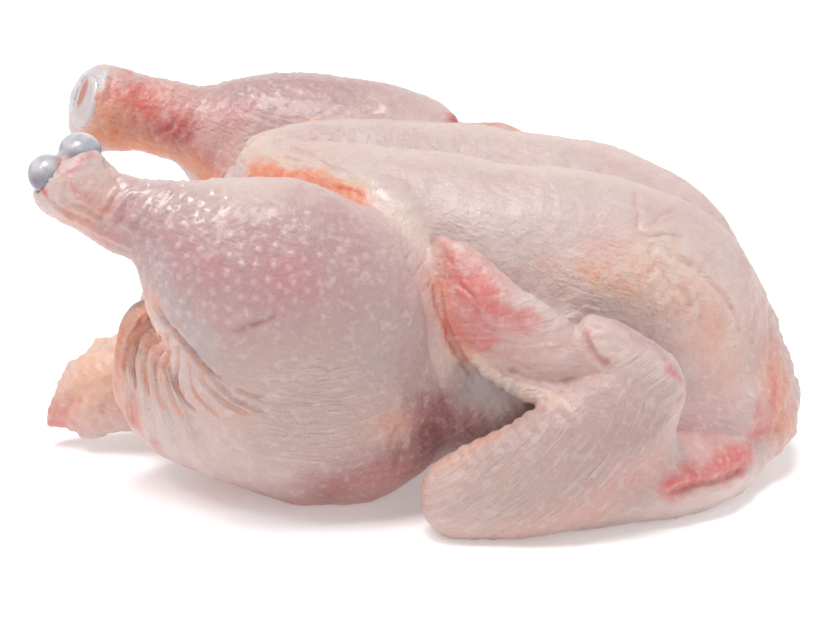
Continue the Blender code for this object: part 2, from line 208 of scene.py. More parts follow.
@dataclass(frozen=True)
class Window:
    """The range of a measure in which a feature shows.

    It rises from start to full and falls from last to end.
    """

    start: float
    full: float
    last: float
    end: float

    def limit(self, values: Array, share: Any = 1.0) -> Array:
        """How much of that share shows at the values."""
        rise = smooth_step(self.start, self.full, values)
        return share * rise * (1.0 - smooth_step(self.last, self.end, values))


@dataclass(frozen=True)
class Lump:
    """A rounded mass of flesh: an ellipsoid, tipped by pitch degrees about Y."""

    centre: Place
    radii: Place
    pitch: float = 0.0

    def distance(self, points: Array) -> Array:
        """Distances to its surface, negative inside."""
        c, s = math.cos(math.radians(self.pitch)), math.sin(math.radians(self.pitch))
        turn = np.array(((c, 0, s), (0, 1, 0), (-s, 0, c)), np.float32)
        local = (points - np.array(self.centre, np.float32)) @ turn
        radii = np.array(self.radii, np.float32)
        near = np.maximum(np.linalg.norm(local / radii, axis=1), 1e-3)
        slope = np.maximum(np.linalg.norm(local / (radii * radii), axis=1), 1e-3 / radii.max())
        return near * (near - 1.0) / slope


@dataclass(frozen=True)
class Limb:
    """A tapered mass along a smooth path of stations (x, y, z, radius).

    It is thinned to a share of its width in the direction thin_along. Points farther than reach
    from its box only get a large distance.
    """

    stations: tuple[Station, ...]
    thin_along: Place = (0, 0, 1)
    thinness: float = 1.0
    steps: int = 6
    reach: float = 14.0

    def distance(self, points: Array, swell: float = 0.0) -> Array:
        """Measure to its surface.

        Args:
            points: where to measure.
            swell: how much larger than stated the limb is taken.

        Returns:
            Distances, negative inside.
        """
        path = smooth_path(self.stations, self.steps)
        path[:, 3] += swell
        low = (path[:, :3] - path[:, 3:]).min(axis=0) - self.reach
        high = (path[:, :3] + path[:, 3:]).max(axis=0) + self.reach
        inside = np.all((points > low) & (points < high), axis=1)
        nearby = points[inside]
        centres, radii = path[:, :3], path[:, 3]
        axis = np.array(self.thin_along, np.float32) / np.linalg.norm(self.thin_along)
        stretch = 1.0 / self.thinness - 1.0
        nearby = nearby + stretch * (nearby @ axis)[:, None] * axis
        centres = centres + stretch * (centres @ axis)[:, None] * axis
        best = np.full(len(nearby), FAR_AWAY, np.float32)
        for start, end, r0, r1 in zip(centres, centres[1:], radii, radii[1:]):
            along = end - start
            offset = nearby - start
            share = np.clip(offset @ along / float(along @ along), 0.0, 1.0)
            offset -= share[:, None] * along
            gap = np.sqrt(np.einsum("ij,ij->i", offset, offset)) - (r0 + share * (r1 - r0))
            np.minimum(best, gap, out=best)
        distance = np.full(len(points), FAR_AWAY, np.float32)
        distance[inside] = best * (1.0 + self.thinness) / 2
        return distance


@dataclass(frozen=True)
class Ripple:
    """Smooth seeded unevenness, about -1 to 1: waves of random direction and length."""

    shortest: float
    longest: float
    seed: int
    count: int = 7

    def at(self, points: Array) -> Array:
        """Its height at the points."""
        chance = np.random.default_rng(self.seed)
        total = np.zeros(len(points), np.float32)
        for _ in range(self.count):
            direction = chance.normal(size=3)
            length = chance.uniform(self.shortest, self.longest)
            direction *= TURN / (np.linalg.norm(direction) * length)
            phase = chance.uniform(0.0, TURN)
            total += np.sin(points @ direction.astype(np.float32) + phase)
        return total / math.sqrt(self.count)


@dataclass(frozen=True)
class Unevenness:
    """Layers of waves, each with its height."""

    layers: tuple[tuple[float, Ripple], ...]

    def at(self, points: Array) -> Array:
        """Its height at the points."""
        return sum(height * ripple.at(points) for height, ripple in self.layers)


@dataclass(frozen=True)
class Drift:
    """Shifts places smoothly by about size, so that what is laid on them is less regular."""

    shortest: float
    longest: float
    seeds: tuple[int, int, int]
    size: float

    def at(self, points: Array) -> Array:
        """The shift of each point."""
        columns = [Ripple(self.shortest, self.longest, seed).at(points) for seed in self.seeds]
        return self.size * np.stack(columns, axis=1)


@dataclass(frozen=True)
class Crease:
    """A line pressed into the skin between two swollen lips. With a negative depth it is a ridge.

    It marks only the skin that lies within under_skin of its path, and tapers over a share of its
    length at both ends. The lips stand lip_place widths from the line.
    """

    path: tuple[Place, ...]
    width: float
    depth: float
    lips: float = 0.4
    sides: tuple[Side, ...] = BOTH
    steps: int = 5
    reach: float = 4.0
    under_skin: float = 5.0
    tapered: float = 0.25
    lip_place: float = 2.1

    def relief(self, points: Array, facing: Array) -> Array:
        """Measure how far it moves the skin outwards.

        Args:
            points: places of the skin.
            facing: the directions that the skin faces there. Depth under the skin doesn't count.

        Returns:
            Heights in millimetres.
        """
        path = smooth_path(self.path, self.steps)
        reach = self.reach * self.width + self.reach
        distance, along, offset = nearest_on_path(points, path, reach)
        under = np.einsum("ij,ij->i", offset, facing)
        level = np.linalg.norm(offset - under[:, None] * facing, axis=1)
        level[(distance >= FAR_AWAY) | (np.abs(under) > self.under_skin)] = FAR_AWAY
        share = along / float(np.linalg.norm(np.diff(path, axis=0), axis=1).sum())
        ends = smooth_step(0.0, self.tapered, share) * smooth_step(0.0, self.tapered, 1.0 - share)
        groove = bell(level, self.width)
        lip = bell(level - self.lip_place * self.width, self.width)
        return self.depth * np.sqrt(ends) * (self.lips * lip - groove)


@dataclass(frozen=True)
class Stain:
    """A patch of colour that fades out towards its edge, in shares of its radii."""

    centre: Place
    radii: Place
    strength: float
    sides: tuple[Side, ...] = BOTH
    full: float = 0.25
    gone: float = 1.35

    def at(self, points: Array) -> Array:
        """How strong it is at the points."""
        local = (points - np.array(self.centre, np.float32)) / np.array(self.radii, np.float32)
        distance = np.linalg.norm(local, axis=1)
        return self.strength * (1.0 - smooth_step(self.full, self.gone, distance))


@dataclass(frozen=True)
class Streak:
    """A band of colour along a path, which fades out sidewards in shares of its width."""

    path: tuple[Place, ...]
    width: float
    strength: float
    sides: tuple[Side, ...] = BOTH
    full: float = 0.2
    gone: float = 1.4
    steps: int = 4
    reach: float = 3.0

    def at(self, points: Array) -> Array:
        """How strong it is at the points."""
        path = smooth_path(self.path, self.steps)
        distance = nearest_on_path(points, path, self.reach * self.width)[0]
        return self.strength * (1.0 - smooth_step(self.full, self.gone, distance / self.width))


Mark = Stain | Streak


def painted(marks: tuple[Mark, ...], side: Side, points: Array) -> Array:
    """Lay marks over each other.

    Args:
        marks: the patches and bands.
        side: the side whose marks count.
        points: where, with that side at -Y.

    Returns:
        0 where there is none, up to 1 where they are full.
    """
    bare = np.ones(len(points), np.float32)
    for mark in marks:
        if side in mark.sides:
            bare *= 1.0 - mark.at(points)
    return 1.0 - bare


@dataclass
class Trunk:
    """The rib cage, the shoulders, the pelvis, the breast, the neck skin and the tail."""

    ribs: Lump = Lump((28, 0, 43), (90, 55, 44.5))
    shoulders: Lump = Lump((83, 0, 24), (43, 56, 27))
    pelvis: Lump = Lump((-48, 0, 34), (43, 40, 36))
    flank: Lump = Lump((36, -36, 40), (37, 31.5, 38))
    breast: Limb = Limb(
        (
            (-40, -12, 93, 15), (-14, -20, 83.5, 25), (20, -24, 72.5, 32), (52, -23, 66.5, 34),
            (74, -19.5, 58, 34), (81, -15, 50, 33),
        )
    )
    neck_skin: Limb = Limb(
        (
            (103, -46, 8, 5), (115.5, -30, 13, 5.5), (121.5, -12, 19.5, 5.2), (122, 8, 18, 5.5),
            (116, 28, 13, 5.5), (103, 45, 8, 5),
        )
    )
    tail: Limb = Limb(
        (
            (-84, 0, 23, 17), (-97, 0, 21.5, 16), (-106, 0, 19.5, 13), (-114.5, 0, 14.5, 8.2),
            (-120.5, 0, 10.5, 4),
        ),
        thin_along=(0, 1, 0),
        thinness=0.85,
    )
    tail_knobs: tuple[Station, ...] = (
        (-99, -3, 36, 4), (-105, 3.5, 33, 3.6), (-109, -4, 8.5, 3.4),
    )
    flesh_fillet: float = 16.0
    joint_fillet: float = 8.0
    knob_fillet: float = 3.0

    def distance(self, points: Array) -> Array:
        """Distances to the trunk with its tail and neck skin."""
        halves = np.column_stack([points[:, 0], -np.abs(points[:, 1]), points[:, 2]])
        body = self.ribs.distance(points)
        for mass, seen in ((self.shoulders, points), (self.pelvis, points), (self.flank, halves)):
            body = smooth_union(body, mass.distance(seen), self.flesh_fillet)
        body = smooth_union(body, self.breast.distance(halves), self.joint_fillet)
        stump = self.tail.distance(points)
        for x, y, z, radius in self.tail_knobs:
            knob = Lump((x, y, z), (radius, radius, radius))
            stump = smooth_union(stump, knob.distance(points), self.knob_fillet)
        body = smooth_union(body, stump, self.joint_fillet)
        return smooth_union(body, self.neck_skin.distance(points), self.joint_fillet)


@dataclass
class Leg:
    """A thigh and a drumstick, cut at the hock."""

    ankle: Station
    calf: Limb
    muscle: Lump
    knob: Limb
    cut_at: Place
    cut_normal: Place
    cut_fillet: float
    thigh: Lump = Lump((-33, -47.5, 38), (49, 30.5, 39), 9.0)
    pad: Lump = Lump((-68, -33, 36.5), (28, 22, 30), 20.0)
    roll: Limb = Limb(
        (
            (-80.5, -51, 66.5, 2.4), (-87.5, -44.5, 60, 3.2), (-91.2, -41.5, 50.5, 3.4),
            (-91.6, -41.5, 40.5, 3.2), (-89, -43, 31, 2.4),
        )
    )
    flesh_fillet: float = 16.0
    shank_fillet: float = 5.0
    roll_fillet: float = 1.6
    crease_fillet: float = 3.0
    thigh_fillet: float = 34.0
    pressed: Span = (-82.0, -57.0)

    def distance(self, points: Array) -> Array:
        """Distances to the leg. The fillet grows from the ankle to where thigh and calf are one."""
        cut = beyond_plane(points, self.cut_at, self.cut_normal)
        knob = smooth_cut(self.knob.distance(points), cut, self.cut_fillet)
        calf, muscle = self.calf.distance(points), self.muscle.distance(points)
        shank = smooth_union(calf, muscle, self.flesh_fillet)
        shank = smooth_union(shank, self.socket(points, knob), self.shank_fillet)
        upper, pad = self.thigh.distance(points), self.pad.distance(points)
        thigh = smooth_union(upper, pad, self.flesh_fillet)
        thigh = smooth_union(thigh, self.roll.distance(points), self.roll_fillet)
        share = smooth_step(*self.pressed, points[:, 0])
        fillet = self.crease_fillet + (self.thigh_fillet - self.crease_fillet) * share
        return smooth_union(thigh, shank, fillet)

    def socket(self, points: Array, knob: Array) -> Array:
        """The knob at the hock as it is; a leg whose cut face is hollow says how."""
        return knob


@dataclass
class NearLeg(Leg):
    """The lower drumstick of the two, whose skin has drawn back from the two condyles."""

    ankle: Station = (-89.6, -55, 94.9, 9.8)
    calf: Limb = Limb(
        (
            ankle, (-77, -57, 93.4, 12.8), (-60, -58.5, 87.4, 18.8), (-40, -59, 82.5, 21.7),
            (-24.5, -57, 76.5, 21.5), (-15.5, -55, 69.5, 19.5),
        ),
        reach=38.0,
    )
    muscle: Lump = Lump((-48.8, -59.5, 72.5), (33, 27, 27), -6.0)
    knob: Limb = Limb(
        (ankle, (-97, -55, 100, 11), (-104.5, -55, 105, 13)),
        reach=20.0,
    )
    cut_at: Place = (-109, -55, 110)
    cut_normal: Place = (-0.64, 0, 0.77)
    cut_fillet: float = 2.6
    hollow: Lump = Lump((-108.5, -55.5, 109.5), (5, 9.5, 5))
    rim: Limb = Limb(
        (
            (-110.6, -63.6, 105.6, 2), (-108.4, -63.6, 107.6, 2.4), (-104.2, -62.8, 109.6, 2.6),
            (-100, -60.4, 112, 2.5), (-96.6, -55.6, 113.6, 2.4),
        )
    )
    bridge: Lump = Lump((-106.2, -57, 110.6), (5.5, 4.5, 3.8), 25.0)
    cup_fillet: float = 2.0
    rim_fillet: float = 2.5

    def socket(self, points: Array, knob: Array) -> Array:
        """The knob with a hollow round the condyles, a torn rim, and the flesh between them."""
        cup = smooth_cut(knob, self.hollow.distance(points), self.cup_fillet)
        cup = smooth_union(cup, self.rim.distance(points), self.rim_fillet)
        return smooth_union(cup, self.bridge.distance(points), self.rim_fillet)


@dataclass
class FarLeg(Leg):
    """The higher drumstick, cut through the head of its bone."""

    ankle: Station = (-85, -54, 101, 12.3)
    calf: Limb = Limb(
        (
            ankle, (-73, -55, 98.8, 13.4), (-57, -57, 95.2, 17.8), (-40, -58, 92.6, 21.6),
            (-22, -57, 91.3, 23), (-2.5, -53, 88.7, 21.5),
        ),
        reach=38.0,
    )
    muscle: Lump = Lump((-44, -59, 81), (34, 26, 28.5))
    knob: Limb = Limb(
        (ankle, (-96, -54, 103.5, 13.4), (-107.3, -54, 104.9, 15)),
        reach=20.0,
    )
    cut_at: Place = (-115.4, -50, 109.8)
    cut_normal: Place = (-0.83, 0.44, 0.34)
    cut_fillet: float = 3.0
    marrow: Lump = Lump((-114.9, -50, 110), (2.4, 4, 6.7), 22.0)
    marrow_fillet: float = 1.0

    def socket(self, points: Array, knob: Array) -> Array:
        """The knob with room for the marrow's hollow."""
        return smooth_cut(knob, self.marrow.distance(points), self.marrow_fillet)


@dataclass
class Wing:
    """The folded wing: drumette, web, flat and hand, with the thumb at the wrist."""

    hand: Limb
    rim: Limb
    drumette: Limb = Limb(
        (
            (98, -48, 11, 11), (86, -58, 11.5, 12.5), (68, -67, 13.5, 13.5), (40, -75, 14, 14),
            (18, -79, 13, 12),
        )
    )
    flat: Limb = Limb(
        (
            (15, -81, 13.5, 12.5), (37, -81, 22, 17), (57, -77, 33.3, 17.5), (68.3, -73, 44.8, 13),
        ),
        thin_along=(0, 1, 0.15),
        thinness=0.7,
    )
    web: Limb = Limb(((70, -70, 42, 9.5), (71, -68, 30, 9.5), (71, -65, 16, 9.5)))
    thumb: Limb = Limb(
        ((70, -73, 48, 11.5), (61.2, -73.5, 58.5, 8), (54.2, -73, 63.6, 4.6))
    )
    joint_fillet: float = 8.0
    crease_fillet: float = 2.4
    rim_fillet: float = 3.2
    thumb_fillet: float = 1.6
    hand_upwards: Place = (-0.45, 0, 0.89)
    hand_reach: float = 18.0
    flat_upwards: Place = (-0.47, 0, 0.88)
    flat_reach: float = 24.0
    outer_from: float = -60.0
    flat_edge: Window = Window(6, 13, 20, 24)
    flat_ends: Span = (42.0, 52.0)
    hand_edge: Window = Window(3, 8, 13, 18)
    flat_scallop: Span = (0.22, 5.0)
    hand_scallop: Span = (0.36, 3.9)
    scallop_drift: float = 0.8

    def distance(self, points: Array) -> Array:
        """Distances to the wing."""
        drumette, web = self.drumette.distance(points), self.web.distance(points)
        arm = smooth_union(drumette, web, self.joint_fillet)
        arm = smooth_union(arm, self.flat.distance(points), self.joint_fillet)
        hand = smooth_union(self.hand.distance(points), self.rim.distance(points), self.rim_fillet)
        arm = smooth_union(arm, hand, self.crease_fillet)
        return smooth_union(arm, self.thumb.distance(points), self.thumb_fillet)

    def lying(self, points: Array) -> tuple[Array, Array, Array, Array]:
        """Place points along the hand and along the flat.

        Args:
            points: the skin, with this wing at -Y.

        Returns:
            For the hand, and then for the flat: the length along it and the height across it.
        """
        found = []
        for limb, upwards, reach in (
            (self.hand, self.hand_upwards, self.hand_reach),
            (self.flat, self.flat_upwards, self.flat_reach),
        ):
            path = smooth_path([row[:3] for row in limb.stations], limb.steps)
            distance, along, offset = nearest_on_path(points, path, reach)
            height = offset @ np.array(upwards, np.float32)
            height[distance > reach] = FAR_AWAY
            found += [along, height]
        return tuple(found)

    def relief(self, points: Array, loose: Array) -> Array:
        """Raise the scallops where the flight feathers stood, along the lower edges.

        Args:
            points: the skin, with this wing at -Y.
            loose: an unevenness that keeps the scallops from being even.

        Returns:
            How far the skin moves outwards.
        """
        hand_along, hand_up, flat_along, flat_up = self.lying(points)
        drift = self.scallop_drift * loose
        outer = points[:, 1] < self.outer_from
        edge = self.flat_edge.limit(flat_up)
        edge *= 1.0 - smooth_step(*self.flat_ends, flat_along)
        height, pitch = self.flat_scallop
        total = height * edge * outer * wave(flat_along + drift, pitch)
        height, pitch = self.hand_scallop
        return total + height * self.hand_edge.limit(-hand_up) * wave(hand_along + drift, pitch)


NEAR_HAND_RIM = Limb(
    (
        (17.5, -65, 55, 2.6), (22, -67.5, 51, 3.2), (27, -69, 47.8, 3.4), (33, -71, 45.2, 3.6),
        (40.5, -74, 43.4, 3.8), (48, -76, 43, 4),
    )
)
FAR_HAND_RIM = Limb(((33, -61, 69, 3), (40, -67, 59, 3.6), (48, -72, 50, 3.8)))
NEAR_HAND = Limb(
    (
        (64.3, -73.5, 48, 12.5), (46.4, -71, 52.2, 12.2), (38.2, -69, 57, 13),
        (29.5, -67, 61.6, 15), (22.9, -65, 66.2, 14.4), (16.6, -62, 74.4, 10.4),
        (12, -59.5, 81.5, 7), (8, -57.5, 87.7, 3.2),
    ),
    thin_along=(0.1, 1, 0.35),
    thinness=0.45,
)
FAR_HAND = Limb(
    (
        (64, -73.5, 50, 12.5), (50, -70, 59, 12.8), (42, -66, 69, 14), (33, -60.5, 79.5, 12.5),
        (24, -55, 89, 8.6), (16, -50, 97.2, 4),
    ),
    thin_along=(0.1, 1, 0.35),
    thinness=0.45,
)


@dataclass
class ShankBone:
    """The bone of one shank, waisted behind its head, with the gristle that shows at the cut."""

    node: str
    side: Side
    head: Place
    ankle: Place
    knee: Place
    end_radius: float = 6.4
    shaft_radius: float = 3.8
    neck_share: float = 0.8
    knee_swell: float = 0.6
    step: float = 0.55

    def distance(self, points: Array) -> Array:
        """Distances to the bone, in the frame in which its side lies at -Y."""
        head, ankle, knee = np.array(self.head), np.array(self.ankle), np.array(self.knee)
        shaft = Limb(
            (
                (*head, self.end_radius),
                (*(0.5 * (head + ankle)), self.neck_share * self.end_radius),
                (*ankle, self.shaft_radius),
                (*(ankle + 0.55 * (knee - ankle)), self.shaft_radius),
                (*knee, self.end_radius + self.knee_swell),
            )
        )
        return self.headed(points, shaft.distance(points))

    def headed(self, points: Array, shaft: Array) -> Array:
        """The bone as it is; a bone whose head shows adds it."""
        return shaft


@dataclass
class NearShankBone(ShankBone):
    """The near bone. Its two round condyles stand out of the cut."""

    condyles: tuple[Lump, ...] = (
        Lump((-111.2, -59, 109.2), (5.7, 6.7, 5.8)),
        Lump((-102, -51, 114.6), (6.3, 7.3, 5.2), 8.0),
    )
    condyle_fillet: float = 2.4

    def headed(self, points: Array, shaft: Array) -> Array:
        """The bone with its condyles, which are a little longer across."""
        for condyle in self.condyles:
            shaft = smooth_union(shaft, condyle.distance(points), self.condyle_fillet)
        return shaft


@dataclass
class FarShankBone(ShankBone):
    """The far bone, cut across its head so that the marrow shows."""

    top: Lump = Lump((-109.8, -51.4, 105.6), (8.5, 11, 12.2))
    marrow: Lump = Lump((-116.1, -49.6, 111.2), (0.5, 1.9, 4.2), 22.0)
    cut_at: Place = (-115.4, -50, 109.8)
    cut_normal: Place = (-0.83, 0.44, 0.34)
    cut_gap: float = 0.3
    top_fillet: float = 3.0
    cut_fillet: float = 0.8
    marrow_fillet: float = 0.7
    sponge: Ripple = Ripple(1.4, 2.6, 8, 9)
    sponge_height: float = 0.16
    sponge_reach: float = 2.0

    def headed(self, points: Array, shaft: Array) -> Array:
        """The bone with its cut head and the hollow of the marrow, whose floor is spongy."""
        bone = smooth_union(shaft, self.top.distance(points), self.top_fillet)
        cut = beyond_plane(points, self.cut_at, self.cut_normal) - self.cut_gap
        bone = smooth_cut(bone, cut, self.cut_fillet)
        marrow = self.marrow.distance(points)
        hollow = smooth_cut(bone, marrow, self.marrow_fillet)
        near = 1.0 - smooth_step(0.0, self.sponge_reach, marrow)
        return hollow + self.sponge_height * self.sponge.at(points) * near


# Paths that both a fold and a colour follow. The colour laid along them is painted shade.
LIP_UNDERSIDE = (
    (-50.4, -22.5, 100.6), (-45.8, -26.2, 100.6), (-39.3, -30.4, 100.9), (-32.8, -35.4, 100.4),
    (-26.3, -40, 99), (-17, -46.5, 97.2),
)
THUMB_FOLD = ((50.7, -76.6, 64.5), (52.2, -78.4, 61), (55.2, -79.8, 57.3), (59.3, -81.6, 55.1))

# The folds at the shoulder end of the breast, and two faint rays on its side.
BREAST_CREASES = (
    Crease(((68.8, -23.9, 97.2), (70.2, -43.5, 89), (71, -45.7, 86.4), (76.1, -50.6, 76.5),
        (82.5, -51.5, 67)), 1.0, 0.8, 0.15),
    Crease(((70.5, -44.2, 88.2), (75.2, -39.5, 89.5), (84.3, -26.7, 90.4)), 0.8, 0.5),
    Crease(((72.4, -45.5, 86.5), (77, -42, 87), (84, -35.5, 87.3)), 1.1, -0.3, 0.0),
    Crease(((71.3, -46.3, 85.6), (76.5, -43.8, 85.5), (86.4, -38.8, 83.8)), 0.8, 0.5),
    Crease(((73.8, -46.9, 83.5), (86, -44.9, 76.5), (94.1, -44.8, 68.3),
        (103.9, -39.4, 53.4)), 1.1, 0.6),
    Crease(((75, -48.2, 80.5), (80.8, -47.4, 76.5), (85, -47.4, 71),
        (88, -48, 66)), 1.6, -0.55, 0.2),
    Crease(((80.5, -50.3, 72), (84.2, -49.6, 67), (84.8, -49.8, 62)), 1.0, 0.5),
    Crease(((86.5, -47.5, 69.5), (88.6, -48.4, 64), (88.2, -49.3, 58.5)), 1.0, 0.45),
    Crease(((41.6, -33.4, 101.5), (43.8, -38.5, 98.9), (45.2, -43.8, 95.5),
        (44.9, -49.1, 90.5)), 1.0, -0.35, 0.2, ONLY_NEAR),
    Crease(((38.8, -47.7, 93.3), (34.1, -51.3, 88.8),
        (27.8, -53.6, 85.3)), 1.1, -0.4, 0.2, ONLY_NEAR),
)

# The ribbon of skin that runs from the flap above the vent down the flank.
RIBBON_CREASES = (
    Crease(((-5, -62, 91.9), (-1.7, -65.5, 84.9), (0.4, -68, 78.4), (3.2, -70.5, 68.3),
        (5, -70.5, 55.4), (8.1, -69, 45.4), (12.2, -66.8, 33.2),
        (16.3, -63.8, 25.9)), 1.1, 0.45, 0.2),
    Crease(((-47.5, -14, 106), (-36.4, -19.9, 107.4), (-23.3, -35.8, 103.1),
        (-10.7, -44, 100.5)), 1.3, 0.8, 0.5),
    Crease(((-45, -20, 104), (-33, -27, 104.5), (-19, -37, 101.5)), 0.9, 0.5, 0.4),
    Crease(((-50, -16, 102.5), (-42, -22.5, 101.5), (-30, -31.5, 101.2),
        (-16, -41, 99.5)), 0.9, 0.45, 0.4),
    Crease(((-38, 3, 106), (-30, 6, 106.5), (-22, 7, 106)), 1.2, -0.5, 0.2, ONLY_NEAR),
)

# The folds under the near end of the drumstick, and the edge that they hang from.
FAN_CREASES = (
    Crease(((-86.2, -48.5, 62.9), (-90.6, -45.2, 56.6), (-92.7, -43.7, 49.8), (-93.8, -43.5, 44.3),
        (-94, -43, 38)), 0.7, 0.6),
    Crease(((-84.6, -48.4, 61.1), (-88, -45.8, 55.9), (-90.5, -44.5, 50.1), (-91.5, -44.6, 44.7),
        (-90.9, -45.7, 37.5)), 0.7, 0.55),
    Crease(((-83.4, -49.5, 60), (-85.8, -46.3, 55.1), (-87.2, -46.5, 48.9), (-87.8, -47.1, 42.8),
        (-87, -49.1, 36)), 1.0, 1.5, 0.3),
    Crease(((-82, -54, 56.5), (-82.5, -53.2, 52.9), (-83.5, -52.6, 47.1), (-83.8, -52.7, 41.9),
        (-82.4, -53.9, 35.3)), 0.8, 0.8),
    Crease(((-76.2, -71.5, 63.5), (-78.4, -64, 57), (-79.8, -57, 51.8), (-80.4, -57.4, 46.1),
        (-79.8, -58.2, 41.4), (-77, -60.3, 34.5)), 0.9, 1.2),
    Crease(((-73.2, -77, 66.4), (-75.1, -69.6, 58.8), (-76.8, -59.8, 50.1), (-76.6, -61.1, 45.7),
        (-75.4, -62.4, 41.2), (-71.5, -65.2, 34.6)), 0.9, 0.9),
    Crease(((-70.5, -78, 63), (-72, -71.5, 55.4), (-73, -65.5, 48.8), (-72.7, -63.7, 43.4),
        (-70.4, -66.1, 39.9), (-65.1, -71, 35.6)), 0.9, 1.0),
    Crease(((-67.1, -80.5, 60), (-68.3, -77, 54.8), (-68.6, -73.4, 49.2), (-67.3, -72.8, 44.4),
        (-64.1, -74.9, 41.3), (-57.6, -78.8, 37.8)), 0.9, 0.9),
    Crease(((-64.3, -82.5, 56.8), (-63.7, -81.5, 52.2), (-61.4, -81.5, 47.7), (-57.3, -82.2, 44.2),
        (-49.1, -81.6, 40)), 0.9, 0.9),
    Crease(((-61.4, -84.5, 55.6), (-59.1, -84.5, 51.3), (-55.7, -84.1, 47.3), (-50.7, -83, 43.7),
        (-43.6, -81.9, 40.3)), 0.8, 0.7),
    Crease(((-55, -85.6, 51.4), (-50.2, -84.8, 48.2), (-43.8, -83.8, 45.6)), 0.8, 0.5),
    Crease(((-78.6, -73.6, 73.4), (-76.6, -75, 70.3), (-73.2, -77, 66.4), (-70.5, -78, 63),
        (-67.1, -80.5, 60), (-64.3, -82.5, 56.8), (-61.4, -84.5, 54.6),
        (-56.1, -85.8, 53.4)), 1.0, 1.9, 0.25),
    Crease(((-55.3, -87.9, 67.8), (-48.6, -89.2, 70.7), (-42.7, -89.2, 72.8),
        (-38.8, -88.6, 75.1)), 1.3, 0.95),
)

# The lower front edge of the thigh.
THIGH_CREASES = (
    Crease(((-8, -77.8, 43.3), (-6, -71.8, 31.4), (-4.5, -68.9, 22.2),
        (-5.1, -65.5, 14.3)), 1.9, 0.4),
    Crease(((-18.4, -70.5, 14.5), (-12.2, -72, 23.4), (-6.9, -74.5, 33.3), (-4.4, -76.2, 44.3),
        (-5.9, -78.8, 56.4)), 1.5, -0.35, 0.0),
)

# The hand, the thumb, the flat and the drumette of the wing.
WING_CREASES = (
    Crease(((6.3, -64, 78), (6.8, -66.3, 71.5), (9, -66.8, 64), (11.5, -66.4, 57.1),
        (14.8, -65.5, 52), (18.6, -64.6, 46.8)), 0.9, 1.1, 0.2, ONLY_NEAR),
    Crease(THUMB_FOLD, 1.1, 1.2),
    Crease(((51.4, -75.4, 67), (53.4, -77, 65.9), (57, -77.9, 65.2)), 0.7, 0.4),
    Crease(((52.8, -77.9, 64), (56.6, -79.4, 62.9), (61.1, -79.9, 62.1)), 0.7, 0.35),
    Crease(((54, -79, 61.6), (57.6, -80.4, 60.4), (61.6, -81.2, 59.4)), 0.7, 0.25),
    Crease(((38.5, -74, 49), (44.1, -75.9, 48.7), (49.1, -78.9, 50)), 1.0, 0.3),
    Crease(((74.2, -75.8, 57.9), (76.3, -80.5, 53.1), (77.7, -81.1, 46)), 1.2, 0.25),
    Crease(((78.5, -80.4, 49), (76.6, -81.1, 41.2), (72.5, -83.9, 37.4),
        (67.9, -86.6, 33.6)), 1.4, 0.22),
    Crease(((71.4, -82.5, 27.3), (68.5, -82.6, 22.4), (65, -82.7, 16.6)), 1.4, 0.22),
    Crease(((16.8, -90.9, 9.4), (28.7, -92.8, 15), (40.7, -93.1, 18.4), (52.8, -90.8, 22.3),
        (61.9, -88.1, 27.7)), 1.2, 0.18),
    Crease(((19.7, -89.6, 25.1), (31.6, -91, 30.4), (43.5, -91.2, 35.3), (55.5, -88.9, 40.8),
        (64.6, -85.2, 47.4)), 1.2, 0.18),
    Crease(((76, -78, 12.2), (85, -73.4, 13.4), (91.7, -69.2, 13.2), (100.5, -61.2, 12.8),
        (107.5, -52, 12.6)), 1.3, 1.5),
    Crease(((10.5, -64.4, 83.3), (12.6, -66.3, 81.6)), 0.6, 0.5, 0.5, ONLY_NEAR),
    Crease(((13.5, -68.6, 77.5), (15.9, -70.6, 75.6),
        (18.6, -72.2, 73.6)), 0.7, 0.7, 0.5, ONLY_NEAR),
    Crease(((16.2, -71.5, 71.5), (18.3, -72.4, 70.2),
        (20.4, -73.1, 69.1)), 0.7, 0.7, 0.5, ONLY_NEAR),
    Crease(((20.7, -73, 67.2), (22.5, -73.5, 65.8), (24.6, -73.9, 64.6)), 0.7, 0.7, 0.5, ONLY_NEAR),
    Crease(((11.4, -68.7, 65.8), (15.3, -70.8, 65.8), (19.9, -72, 63.7)), 0.8, 0.4, 0.4, ONLY_NEAR),
    Crease(((24.4, -72.9, 60.8), (31.9, -75, 60.8), (36.4, -75.9, 61.8)), 0.8, 0.4, 0.4, ONLY_NEAR),
    Crease(((20.9, -68.5, 54.3), (29, -72.7, 56), (37, -75.9, 57.3)), 0.8, 0.3, 0.4, ONLY_NEAR),
    Crease(((27.7, -68.6, 50.1), (35.1, -73.9, 52.2),
        (39.5, -76, 53.2)), 0.8, 0.25, 0.4, ONLY_NEAR),
    Crease(((18.5, -69, 58), (24, -73, 54.5), (31, -76, 51), (39, -79.5, 49),
        (46, -83.5, 48.8)), 0.9, 0.55, 0.3, ONLY_NEAR),
    Crease(((39.3, -75.6, 67.3), (40.2, -76.6, 62.6), (38, -76, 56.1)), 0.8, 0.25, 0.4, ONLY_NEAR),
    Crease(((7, -45, 102.9), (15, -46.5, 102.8), (24, -42.5, 103.2),
        (37, -35, 102.8)), 2.2, -2.8, 0.0, ONLY_FAR),
)

